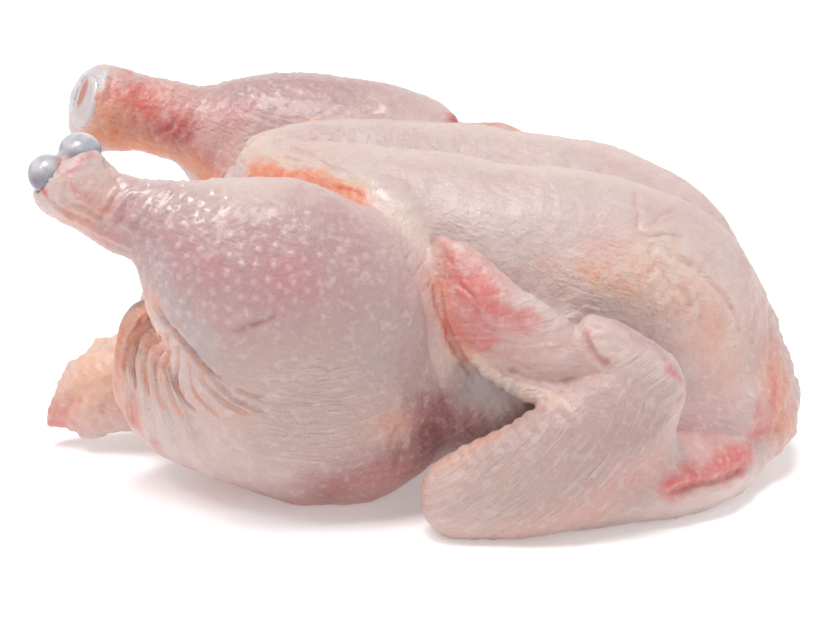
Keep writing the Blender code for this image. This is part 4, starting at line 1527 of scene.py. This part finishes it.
    def paint(self, mesh: Mesh) -> None:
        """Store how strong each tone and grain is at every vertex, and where painted shade lies in
        folds and inside the vent.
        """
        points = stations_of(mesh_rows(mesh))
        broad, fine = (drift.at(points) for drift in self.tone_drifts)
        shifted = (points + self.tone_drift * (broad + fine)).astype(np.float32)
        names = [name for name in MARKS if name not in SHAPING]
        flowing = ("across", "along", "crepe")
        kept = {name: np.zeros(len(points), np.float32) for name in (*names, *flowing)}
        for side in Side:
            half = points[:, 1] * side.value < (0.0 if side is Side.FAR else 1e-6)
            seen = side.seen(shifted[half])
            for name in names:
                kept[name][half] = painted(MARKS[name], side, seen)
            flow = self.flow.at(side.seen(points[half]), self.fan, self.wings[side])
            kept["across"][half], kept["along"][half], kept["crepe"][half] = flow
        kept["crepe"] = self.calmed(mesh, kept["crepe"], kept["across"], kept["along"])
        for name, values in kept.items():
            store(mesh, name, values)
        # Painted shade inside the vent, over the redder raw flesh there.
        inside = 1.0 - smooth_step(*self.raw_and_shade_from, self.cavity.distance(points))
        store(mesh, "deep", inside * smooth_step(*self.raw_and_shade_within, points[:, 0]))
        # Where painted crease shade goes, strongest at the bottom of folds.
        store(mesh, "groove", self.hollowness(mesh))

    def calmed(self, mesh: Mesh, crepe: Array, across: Array, along: Array) -> Array:
        """Take the fine wrinkles away where their direction jumps from one vertex to the next.

        Args:
            mesh: the skin.
            crepe: how strong the wrinkles are.
            across: millimetres across them.
            along: millimetres along them.

        Returns:
            How strong the wrinkles are, faded out towards such places.
        """
        places = mesh_rows(mesh) / MM
        first, second = mesh_edges(mesh)
        length = np.linalg.norm(places[first] - places[second], axis=1)
        change = np.abs(across[first] - across[second]) + np.abs(along[first] - along[second])
        torn = change > self.jump * length + self.slack
        kept = np.ones(len(places), np.float32)
        kept[first[torn]] = kept[second[torn]] = 0.0
        for fade in self.fades:
            lowest = kept.copy()
            np.minimum.at(lowest, first, kept[second] + self.fades[0])
            np.minimum.at(lowest, second, kept[first] + self.fades[0])
            kept = np.where(lowest < fade + 0.01, lowest, kept)
        return crepe * kept

    def hollowness(self, mesh: Mesh, rounds: int = 6) -> Array:
        """How far each vertex lies in a fold, which sets its share of painted crease shade.

        Args:
            mesh: the skin.
            rounds: how often the skin is averaged with its neighbours.

        Returns:
            0 on open skin and on ridges, up to 1 at the bottom of a crease.
        """
        places = mesh_rows(mesh)
        first, second = mesh_edges(mesh)
        count = len(places)
        degree = np.bincount(first, minlength=count) + np.bincount(second, minlength=count)
        smooth = places.astype(np.float64)
        for _ in range(rounds):
            total = np.empty_like(smooth)
            for axis in range(3):
                total[:, axis] = np.bincount(first, smooth[second, axis], count)
                total[:, axis] += np.bincount(second, smooth[first, axis], count)
            smooth = 0.5 * smooth + 0.5 * total / degree[:, None]
        rise = np.einsum("ij,ij->i", smooth - places, mesh_rows(mesh, "normal")) / MM
        return smooth_step(*self.fold_rise, rise)

    def build(self) -> bpy.types.Object:
        """Mesh the carcass and press its relief in.

        Returns:
            The skin, with the places of its pimples stored at its vertices.
        """
        mesh = SurfaceGrid(*self.box, self.step).mesh("bird_skin", self.distance)
        places, normals = mesh_rows(mesh), mesh_rows(mesh, "normal")
        points = stations_of(places)
        places += normals * self.relief(points, normals)[:, None] * MM
        mesh.vertices.foreach_set("co", places.ravel())
        share = np.zeros(len(points), np.float32)
        for side in Side:
            half = points[:, 1] * side.value < 0.0
            share[half] = painted(MARKS["pimples"], side, side.seen(points[half]))
        store(mesh, "pimples", share)
        skin = show_object("bird_skin", mesh)
        finely = painted(MARKS["finely"], Side.NEAR, points) > self.fine_from
        finely &= (points[:, 1] < 0.0) & (normals[:, 1] < self.fine_facing)
        coarser = skin.vertex_groups.new(name="coarser")
        coarser.add(np.flatnonzero(~finely).tolist(), 1.0, "REPLACE")
        LOG.info("%d places keep their detail", int(finely.sum()))
        return skin


def chart(red: float, green: float, blue: float) -> Colour:
    """A colour for the shader from the 0 to 255 numbers of a colour chart, none very dark."""
    parts = [((part / 255.0 + 0.055) / 1.055) ** 2.4 for part in (red, green, blue)]
    return (*parts, 1.0)


class Sock:
    """A socket in a sum. Each sign of the sum adds a Math node."""

    def __init__(self, web: "Web", source: bpy.types.NodeSocket) -> None:
        """Wrap an output socket of that web."""
        self.web, self.source = web, source

    def __add__(self, other: Any) -> "Sock":
        """Add."""
        return self.web.sum("ADD", self, other)

    __radd__ = __add__

    def __mul__(self, other: Any) -> "Sock":
        """Multiply."""
        return self.web.sum("MULTIPLY", self, other)

    __rmul__ = __mul__

    def __sub__(self, other: Any) -> "Sock":
        """Subtract."""
        return self.web.sum("SUBTRACT", self, other)

    def __rsub__(self, other: Any) -> "Sock":
        """Subtract this from the other."""
        return self.web.sum("SUBTRACT", other, self)

    def __truediv__(self, other: Any) -> "Sock":
        """Divide."""
        return self.web.sum("DIVIDE", self, other)

    def __rtruediv__(self, other: Any) -> "Sock":
        """Divide the other by this."""
        return self.web.sum("DIVIDE", other, self)


class Web:
    """The nodes of one material or of one Geometry Nodes tree."""

    def __init__(self, tree: bpy.types.NodeTree) -> None:
        """Start from an empty tree."""
        self.tree = tree
        tree.nodes.clear()

    def socket(self, sockets: Any, key: Any) -> bpy.types.NodeSocket:
        """The socket of that number, or the one in use of that name."""
        if isinstance(key, int):
            return sockets[key]
        return next(socket for socket in sockets if socket.name == key and socket.enabled)

    def node(self, kind: str, settings: Settings = None, inputs: Inputs = None) -> Any:
        """Add a node.

        Args:
            kind: the node's type.
            settings: its settings, set first. The key "stops" holds a ramp's places and colours.
            inputs: values or sockets for its inputs, by name or number.

        Returns:
            The node.
        """
        made = self.tree.nodes.new(kind)
        for name, value in (settings or {}).items():
            if name == "stops":
                ramp = made.color_ramp.elements
                while len(ramp) < len(value):
                    ramp.new(1.0)
                for stop, (place, colour) in zip(ramp, value):
                    stop.position, stop.color = place, colour
            else:
                setattr(made, name, value)
        for key, value in (inputs or {}).items():
            end = self.socket(made.inputs, key)
            if isinstance(value, Sock):
                self.tree.links.new(value.source, end)
            else:
                end.default_value = value
        return made

    def get(self, node: Any, key: Any = 0) -> Sock:
        """An output of a node, for sums and inputs."""
        return Sock(self, self.socket(node.outputs, key))

    def sum(self, operation: str, first: Any, second: Any) -> Sock:
        """A Math node on two values or sockets."""
        inputs = {0: first, 1: second}
        return self.get(self.node("ShaderNodeMath", {"operation": operation}, inputs))

    def clamp(self, value: Sock) -> Sock:
        """The value kept between 0 and 1."""
        return self.get(self.node("ShaderNodeClamp", None, {0: value}))

    def ramp(self, value: Sock, low: float, high: float) -> Sock:
        """A smooth rise from 0 at low to 1 at high."""
        settings = {"interpolation_type": "SMOOTHSTEP"}
        inputs = {"Value": value, "From Min": low, "From Max": high, "To Min": 0.0, "To Max": 1.0}
        return self.get(self.node("ShaderNodeMapRange", settings, inputs))

    def blend(self, share: Any, first: Any, second: Any, how: str = "MIX") -> Sock:
        """One colour laid over another by a share, in Blender's way of that name."""
        settings = {"data_type": "RGBA", "blend_type": how}
        return self.get(self.node("ShaderNodeMix", settings, {0: share, 6: first, 7: second}), 2)


class SkinWeb(Web):
    """The nodes of a material, with the patterns that several finishes share."""

    def __init__(self, name: str) -> None:
        """Make the material and its shader."""
        self.material = bpy.data.materials.new(name)
        self.material.use_nodes = True
        super().__init__(self.material.node_tree)
        self.place = self.get(self.node("ShaderNodeTexCoord"), "Object")

    def mark(self, name: str) -> Sock:
        """A number stored at the vertices."""
        return self.get(self.node("ShaderNodeAttribute", {"attribute_name": name}), "Fac")

    def grain(self, size: float, detail: float = 2.0) -> Sock:
        """Noise.

        Args:
            size: how large its blots are, in millimetres.
            detail: how many finer layers it has.

        Returns:
            Values about 0.5.
        """
        scale = (1.0 / (size * MM),) * 3
        where = self.node("ShaderNodeMapping", None, {"Vector": self.place, "Scale": scale})
        inputs = {"Vector": self.get(where), "Scale": 1.0, "Detail": detail, "Roughness": 0.5}
        return self.get(self.node("ShaderNodeTexNoise", None, inputs), 0)

    def wrinkle(self, width: float, length: float) -> Sock:
        """Noise drawn out along the way that the fine wrinkles of the skin run, about 0.5."""
        flat = {"X": self.mark("across") / width, "Y": self.mark("along") / length, "Z": 0.0}
        where = self.node("ShaderNodeCombineXYZ", None, flat)
        inputs = {"Vector": self.get(where), "Scale": 1.0, "Detail": 2.0, "Roughness": 0.5}
        noise = self.node("ShaderNodeTexNoise", None, {**inputs, "Distortion": 0.6})
        return self.get(noise, 0)

    def threads(self, size: float, width: float) -> Sock:
        """Thin branching lines, 1 on a line and 0 off it.

        Args:
            size: how far apart they lie, in millimetres.
            width: their width as a share of that.

        Returns:
            How much of a line shows.
        """
        away = self.sum("ABSOLUTE", self.grain(size, 1.5) - 0.5, 0.0)
        return 1.0 - self.ramp(away, 0.25 * width, width)

    def cells(self, size: float) -> Sock:
        """The distance to the middles of Voronoi cells of that size in millimetres."""
        inputs = {"Vector": self.place, "Scale": 1.0 / (size * MM)}
        return self.get(self.node("ShaderNodeTexVoronoi", None, inputs), "Distance")

    def finish(
        self, fixed: dict[str, Any], linked: dict[str, Sock], height: Sock
    ) -> bpy.types.Material:
        """Close the material.

        Args:
            fixed: values of the shader that are the same all over.
            linked: sockets that feed it.
            height: the relief of the surface in millimetres.

        Returns:
            The finished material.
        """
        relief = {"Strength": 1.0, "Distance": MM, "Height": height}
        linked = {**linked, "Normal": self.get(self.node("ShaderNodeBump", None, relief))}
        shader = self.node("ShaderNodeBsdfPrincipled", None, {**fixed, **linked})
        self.node("ShaderNodeOutputMaterial", None, {"Surface": self.get(shader)})
        return self.material


# What skin and gristle share: light goes a little way in, and a film of moisture lies on them.
MOIST = {"Subsurface Scale": 0.002, "Coat Roughness": 0.16, "IOR": 1.45}


@dataclass(frozen=True)
class RawSkin:
    """Moist pale chicken skin over flesh and fat.

    Each of the layers is a tone with the least share of its mark that shows. Some marks are painted
    shade and a few are painted highlights, as noted where they are laid.
    """

    flesh: Colour = chart(228, 206, 199)
    rosy: Colour = chart(224, 184, 177)
    grey: Colour = chart(214, 194, 188)
    # Cream fat, also laid as painted highlights on the ankle, the breast ridge and the drumstick
    # top.
    cream: Colour = chart(238, 216, 198)
    mauve: Colour = chart(196, 153, 157)
    # The dark tone of painted shade in recesses and on the underside.
    plum: Colour = chart(168, 112, 110)
    # Bruise red, also laid as painted shade in creases, under the lip and on the underside.
    blood: Colour = chart(226, 98, 94)
    # Pink, also laid as painted shade under the lip and along the underside.
    pink: Colour = chart(234, 158, 144)
    gristle: Colour = chart(230, 228, 230)
    # Amber, also laid as painted shade in the fan's folds and under the lip.
    amber: Colour = chart(246, 162, 122)
    fat: Colour = chart(246, 214, 188)
    blue: Colour = chart(190, 184, 184)
    # The inside of the vent: redder raw flesh, darkened as painted shade.
    raw_flesh_and_shade: Colour = chart(128, 42, 40)
    # Painted crease shade: the warm dark tone laid in folds.
    fold: Colour = chart(220, 136, 120)
    light: Colour = chart(246, 230, 220)
    depth: Colour = (0.775, 0.76, 0.78, 1)
    dusk: Colour = chart(205, 178, 167)
    stub: Colour = chart(190, 120, 84)
    layers: tuple[tuple[str, float], ...] = (
        ("dusk", 0.4), ("cream", 0.3), ("fat", 0.3), ("mauve", 0.2), ("plum", 0.2),
        ("blue", 0.1), ("pink", 0.1), ("amber", 0.25), ("blood", 0.1), ("gristle", 0.4),
    )

    def material(self) -> bpy.types.Material:
        """Mix the tones by their marks, with painted shade and painted highlights among them, and
        add the skin's grain.
        """
        web = SkinWeb("raw_skin")
        broad, patch = web.grain(26.0), web.grain(9.0, 3.0)
        mottle, fine = web.grain(3.2, 4.0), web.grain(1.0)
        wrinkle, crepe = web.wrinkle(1.5, 9.0), web.mark("crepe")
        uneven = 0.4 * patch + 0.6 * mottle
        colour = web.blend(web.ramp(broad, 0.38, 0.66) * 0.45, self.flesh, self.rosy)
        colour = web.blend(web.ramp(patch, 0.45, 0.7) * 0.35, colour, self.grey)
        for tone, least in self.layers:
            share = web.clamp(web.mark(tone) * (least + 1.7 * uneven - 0.1))
            colour = web.blend(share, colour, getattr(self, tone))
        lobe = web.mark("lobes")
        dabs = lobe * web.ramp(web.grain(6.0, 3.0), 0.5, 0.68)
        colour = web.blend(dabs * 0.4, colour, self.amber)
        colour = web.blend(lobe * web.threads(7.0, 0.08) * 0.45, colour, self.cream)
        # Painted crease shade in the folds.
        colour = web.blend(web.mark("groove") * 0.5, colour, self.fold)
        colour = web.blend(web.ramp(mottle, 0.5, 0.72) * 0.35, colour, self.rosy)
        colour = web.blend((1.0 - web.ramp(mottle, 0.3, 0.48)) * 0.2, colour, self.light)
        colour = web.blend(web.mark("pimple") * 0.6, colour, self.light)
        colour = web.blend(web.ramp(fine, 0.52, 0.8) * 0.17, colour, self.light)
        colour = web.blend(web.ramp(wrinkle, 0.5, 0.75) * 0.34 * crepe, colour, self.light)
        speck = (1.0 - web.ramp(web.cells(7.5), 0.03, 0.08)) * crepe
        colour = web.blend(speck * 0.5, colour, self.stub)
        # Painted shade inside the vent, over its redder raw flesh.
        colour = web.blend(web.mark("deep"), colour, self.raw_flesh_and_shade)
        colour = web.blend(1.0, colour, self.depth, "MULTIPLY")
        wet = web.mark("wet")
        rough = 0.45 - 0.2 * wet + 0.2 * (patch - 0.5) + 0.25 * (fine - 0.5)
        height = 1.1 * crepe * wrinkle + 0.5 * web.grain(1.7, 3.0) + 0.4 * mottle
        height = height + 0.4 * wet * web.grain(1.2) + 0.5 * lobe * web.grain(2.4)
        fixed = {**MOIST, "Subsurface Weight": 0.15, "Subsurface Radius": (1, 0.42, 0.28)}
        coat = 0.07 + 0.85 * wet + 0.12 * web.mark("pimples")
        linked = {"Base Color": colour, "Roughness": rough, "Coat Weight": coat}
        return web.finish(fixed, linked, height)


@dataclass(frozen=True)
class WetGristle:
    """The smooth bluish gristle of a joint, or the pinkish cut of a bone with its marrow."""

    name: str
    gristle: Colour
    shade: Colour
    flesh: Colour
    # Painted shade on the faces that look down.
    under: Colour

    def material(self) -> bpy.types.Material:
        """Cloud the gristle, paint shade on its downward faces, and redden it at the flesh and the
        marrow.
        """
        web = SkinWeb(self.name)
        cloud, fine, marrow = web.grain(5.0), web.grain(1.1), web.mark("marrow")
        colour = web.blend(web.ramp(cloud, 0.35, 0.65), self.gristle, self.shade)
        # Painted shade where the gristle faces down.
        colour = web.blend(web.clamp(web.mark("under") * (0.5 + cloud)), colour, self.under)
        colour = web.blend(web.clamp(marrow * (0.7 + 0.6 * fine)), colour, self.flesh)
        height = 0.05 * fine + 0.12 * marrow * fine
        within = {"Subsurface Weight": 0.3, "Subsurface Radius": (1, 0.7, 0.6)}
        fixed = {**MOIST, **within, "Coat Weight": 0.5}
        return web.finish(fixed, {"Base Color": colour, "Roughness": 0.3 + 0.2 * marrow}, height)


@dataclass(frozen=True)
class PimpleSheet:
    """Geometry Nodes that raise the pimples of plucked skin, where feathers stood."""

    spacing: float = 3.9
    height: float = 0.8
    radius: float = 1.5
    seed: int = 5
    crowding: float = 300000.0
    triangles: int = 194000

    def tree(self) -> bpy.types.NodeTree:
        """Build the tree: scattered follicles, and a low dome over each."""
        tree = bpy.data.node_groups.new("plucked_skin", "GeometryNodeTree")
        web = Web(tree)
        tree.interface.new_socket("Skin", in_out="INPUT", socket_type="NodeSocketGeometry")
        for name in ("Spacing", "Height", "Radius", "Crowding"):
            tree.interface.new_socket(name, in_out="INPUT", socket_type="NodeSocketFloat")
        tree.interface.new_socket("Seed", in_out="INPUT", socket_type="NodeSocketInt")
        tree.interface.new_socket("Finish", in_out="INPUT", socket_type="NodeSocketMaterial")
        tree.interface.new_socket("Skin", in_out="OUTPUT", socket_type="NodeSocketGeometry")
        given = web.node("NodeGroupInput")
        numbered = [web.get(given, number) for number in range(7)]
        skin, spacing, height, radius, crowding, seed, finish = numbered
        named = {"Name": "pimples"}
        marked = web.node("GeometryNodeInputNamedAttribute", {"data_type": "FLOAT"}, named)
        share = web.get(marked, "Attribute")
        scatter = web.node(
            "GeometryNodeDistributePointsOnFaces",
            {"distribute_method": "POISSON"},
            {"Mesh": skin, "Distance Min": spacing, "Density Max": crowding, "Seed": seed},
        )
        follicles = {0: web.get(scatter, "Points")}
        near = web.node("GeometryNodeProximity", {"target_element": "POINTS"}, follicles)
        dome = 1.0 - web.ramp(web.get(near, "Distance") / radius, 0.0, 1.0)
        outwards = {0: web.get(web.node("GeometryNodeInputNormal")), "Scale": dome * share * height}
        rise = web.node("ShaderNodeVectorMath", {"operation": "SCALE"}, outwards)
        moved = {"Geometry": skin, "Offset": web.get(rise, "Vector")}
        raised = web.node("GeometryNodeSetPosition", None, moved)
        kept = web.node(
            "GeometryNodeStoreNamedAttribute",
            {"data_type": "FLOAT", "domain": "POINT"},
            {"Geometry": web.get(raised), "Name": "pimple", "Value": dome * share},
        )
        whole = web.node("GeometryNodeRealizeInstances", None, {"Geometry": web.get(kept)})
        painted_on = {"Geometry": web.get(whole), "Material": finish}
        dressed = web.node("GeometryNodeSetMaterial", None, painted_on)
        web.node("NodeGroupOutput", None, {0: web.get(dressed)})
        return tree

    def raise_on(self, skin: bpy.types.Object, finish: bpy.types.Material) -> None:
        """Raise the pimples on a skin, thin it, and leave it a plain mesh.

        Args:
            skin: the piece.
            finish: the material that it gets.
        """
        sizes = {
            "Spacing": self.spacing * MM,
            "Height": self.height * MM,
            "Radius": self.radius * MM,
            "Crowding": self.crowding,
            "Seed": self.seed,
            "Finish": finish,
        }
        sheet = skin.modifiers.new("pimples", "NODES")
        sheet.node_group = self.tree()
        for item in sheet.node_group.interface.items_tree:
            if item.in_out == "INPUT" and item.name in sizes:
                sheet[item.identifier] = sizes[item.name]
        thinned = skin.modifiers.new("fewer_faces", "DECIMATE")
        thinned.use_collapse_triangulate = True
        thinned.ratio = min(1.0, self.triangles / (2 * len(skin.data.polygons)))
        thinned.vertex_group = "coarser"
        applied(skin)
        skin.vertex_groups.clear()


@dataclass
class DressedBone:
    """The visible piece that stands for a shank bone."""

    bone: ShankBone
    finish: WetGristle
    reddening: tuple[Lump, ...]
    depth: float
    swelling: float = 0.2
    margin: float = 20.0
    # How far down a face must look to get painted shade.
    below: Span = (-0.75, 0.35)

    def distance(self, points: Array) -> Array:
        """Distances to the bone, a little swollen."""
        return self.bone.distance(self.bone.side.seen(points)) - self.swelling

    def build(self) -> bpy.types.Object:
        """Mesh the bone finely, and mark where it is red and where its faces look down for painted
        shade.

        Returns:
            The finished piece.
        """
        name = self.bone.node + "_gristle"
        ends = smooth_path((self.bone.head, self.bone.ankle, self.bone.knee), 2)
        low, high = ends.min(axis=0) - self.margin, ends.max(axis=0) + self.margin
        if self.bone.side is Side.FAR:
            low[1], high[1] = -high[1], -low[1]
        grid = SurfaceGrid(tuple(low), tuple(high), self.bone.step)
        mesh = grid.mesh(name, self.distance)
        points = self.bone.side.seen(stations_of(mesh_rows(mesh)))
        nearest = np.min([lump.distance(points) for lump in self.reddening], axis=0)
        red = 1.0 - smooth_step(-0.5 * self.depth, self.depth, nearest)
        store(mesh, "marrow", red)
        # Downward faces, for painted shade.
        store(mesh, "under", smooth_step(*self.below, -mesh_rows(mesh, "normal")[:, 2]))
        mesh.materials.append(self.finish.material())
        mesh.shade_smooth()
        return show_object(name, mesh)


def fit_to_box(mesh: Mesh, low: Place, high: Place, flat: float = 0.25) -> None:
    """Keep a mesh inside the solids' box, and flat where it rests.

    Args:
        mesh: the piece's mesh, in metres.
        low: the box's lowest corner.
        high: the box's highest corner.
        flat: places lower than this, in millimetres, are set on the surface.
    """
    places = mesh_rows(mesh)
    places[places[:, 2] < flat * MM, 2] = 0.0
    places = np.clip(places, np.array(low, np.float32), np.array(high, np.float32))
    mesh.vertices.foreach_set("co", places.ravel())
    mesh.update()


def aim(aimed: bpy.types.Object, way: Vector) -> None:
    """Turn a lamp or the camera so that it looks that way."""
    aimed.rotation_mode = "QUATERNION"
    aimed.rotation_quaternion = way.to_track_quat("-Z", "Y")


@dataclass(frozen=True)
class Softbox:
    """An oblong lamp that points at the bird."""

    place: Place
    width: float
    height: float
    glow: float
    aims_at: Place = (0, 0, 0.05)

    def light(self, name: str) -> None:
        """Hang the lamp."""
        lamp = bpy.data.lights.new(name, "AREA")
        lamp.shape = "RECTANGLE"
        lamp.size, lamp.size_y = self.width, self.height
        lamp.energy = self.glow * math.pi * self.width * self.height
        hung = show_object(name, lamp)
        hung.location = self.place
        aim(hung, Vector(self.aims_at) - Vector(self.place))


@dataclass(frozen=True)
class BroadLight:
    """A far and very broad lamp, which lights the whole floor alike."""

    stands_at: Place
    strength: float
    breadth: float

    def light(self, name: str) -> None:
        """Hang the lamp."""
        lamp = bpy.data.lights.new(name, "SUN")
        lamp.energy, lamp.angle = self.strength, math.radians(self.breadth)
        aim(show_object(name, lamp), -Vector(self.stands_at))


@dataclass
class Studio:
    """A plain pale floor, soft light from above, and the camera."""

    focal_pixels: float = 2430.0
    frame_width: float = 829.0
    sensor: float = 36.0
    distance: float = 0.810
    elevation: float = 17.0
    target: Place = (-0.0024, 0, 0.0477)
    floor_half: float = 4.0
    floor_glow: float = 0.24
    sky: float = 0.18
    lamp: BroadLight = BroadLight((-0.1, -0.1, 1), 2.35, 26.0)
    softboxes: tuple[Softbox, ...] = (
        Softbox((0, 1.15, 0.5), 2.2, 0.8, 0.9),
        Softbox((-1.1, 0.1, 0.5), 1.2, 0.8, 0.6),
        Softbox((1.1, 0.1, 0.5), 1.2, 0.8, 1.2),
        Softbox((0.3, -1.3, 0.6), 1.6, 0.8, 0.85),
        Softbox((-0.5, -0.35, 0.9), 0.24, 0.24, 12.0),
    )

    def floor(self) -> None:
        """Lay a pale floor under everything."""
        h = self.floor_half
        mesh = bpy.data.meshes.new("pale_floor")
        corners = [(-h, -h, 0.0), (h, -h, 0.0), (h, h, 0.0), (-h, h, 0.0)]
        mesh.from_pydata(corners, [], [(0, 1, 2, 3)])
        web = SkinWeb("pale_floor")
        colour = web.blend(web.grain(40.0, 1.0) * 0.2, chart(248, 248, 248), chart(252, 252, 252))
        glow = {"Emission Color": (1, 1, 1, 1), "Emission Strength": self.floor_glow}
        height = web.grain(3.0, 1.0) * 0.01
        paper = web.finish({"Roughness": 0.8, **glow}, {"Base Color": colour}, height)
        mesh.materials.append(paper)
        show_object("pale_floor", mesh)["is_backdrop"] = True

    def sky_light(self) -> None:
        """Light evenly from all round."""
        world = bpy.data.worlds.new("white_room")
        world.use_nodes = True
        bpy.context.scene.world = world
        shader = world.node_tree.nodes["Background"]
        shader.inputs["Color"].default_value = (1, 1, 1, 1)
        shader.inputs["Strength"].default_value = self.sky

    def camera(self) -> None:
        """Set the camera where the photograph was taken from."""
        lens = bpy.data.cameras.new("camera")
        lens.sensor_width = self.sensor
        lens.lens = self.sensor * self.focal_pixels / self.frame_width
        eye = show_object("camera", lens)
        rise = math.radians(self.elevation)
        back = Vector((0.0, -math.cos(rise), math.sin(rise)))
        eye.location = Vector(self.target) + back * self.distance
        aim(eye, -back)
        bpy.context.scene.camera = eye

    def set_up(self) -> None:
        """Make the whole studio."""
        bpy.context.scene.view_settings.view_transform = "Standard"
        self.floor()
        self.sky_light()
        self.lamp.light("broad_light")
        for number, box in enumerate(self.softboxes):
            box.light(f"softbox_{number}")
        self.camera()


NEAR_BONE = NearShankBone(
    node="shank_bone_near",
    side=Side.NEAR,
    head=(-105.5, -55, 107.5),
    ankle=NearLeg.ankle[:3],
    knee=(-8, -55, 67),
)
FAR_BONE = FarShankBone(
    node="shank_bone_far",
    side=Side.FAR,
    head=(-106, -52, 106.5),
    ankle=FarLeg.ankle[:3],
    knee=(-2, -53, 82),
)
BLUE_GRISTLE = WetGristle(
    name="blue_gristle",
    gristle=chart(170, 172, 182),
    shade=chart(200, 196, 200),
    flesh=chart(206, 116, 94),
    # Painted shade on the downward faces.
    under=chart(120, 112, 124),
)
CUT_BONE = WetGristle(
    name="cut_bone",
    gristle=chart(212, 202, 200),
    shade=chart(200, 188, 188),
    flesh=chart(190, 126, 116),
    # Painted shade on the downward faces.
    under=chart(196, 184, 184),
)
NEAR_RED = (
    Lump((-98, -55, 101.5), (9.5, 9, 9.5)),
    Lump((-106.2, -58.5, 111.2), (2.2, 4, 2.2)),
)
FAR_RED = (Lump((-114.9, -49.6, 111.2), (2.6, 2.2, 4.8), 22.0),)
AROUND_THE_BIRD = ((-136, -104, -6), (140, 104, 132))


def main() -> None:
    """Build the bird's pieces in order, dress them, and set up the studio."""
    logging.basicConfig(level=logging.INFO, format="%(message)s")
    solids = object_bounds()
    low, high = tuple(solids[0]), tuple(solids[1])
    carcass = Carcass(AROUND_THE_BIRD, bones=(NEAR_BONE, FAR_BONE))
    skin = carcass.build()
    PimpleSheet().raise_on(skin, RawSkin().material())
    fit_to_box(skin.data, low, high)
    carcass.paint(skin.data)
    skin.data.shade_smooth()
    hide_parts("carcass")
    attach(skin, "root")
    LOG.info("%s: %d triangles", skin.name, triangles_in(skin.data))
    dressed = (
        DressedBone(NEAR_BONE, BLUE_GRISTLE, NEAR_RED, depth=2.6),
        DressedBone(FAR_BONE, CUT_BONE, FAR_RED, depth=1.2),
    )
    for part in dressed:
        piece = part.build()
        fit_to_box(piece.data, low, high)
        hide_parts(part.bone.node)
        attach(piece, "root")
        LOG.info("%s: %d triangles", piece.name, triangles_in(piece.data))
    Studio().set_up()


if __name__ == "__main__":
    main()
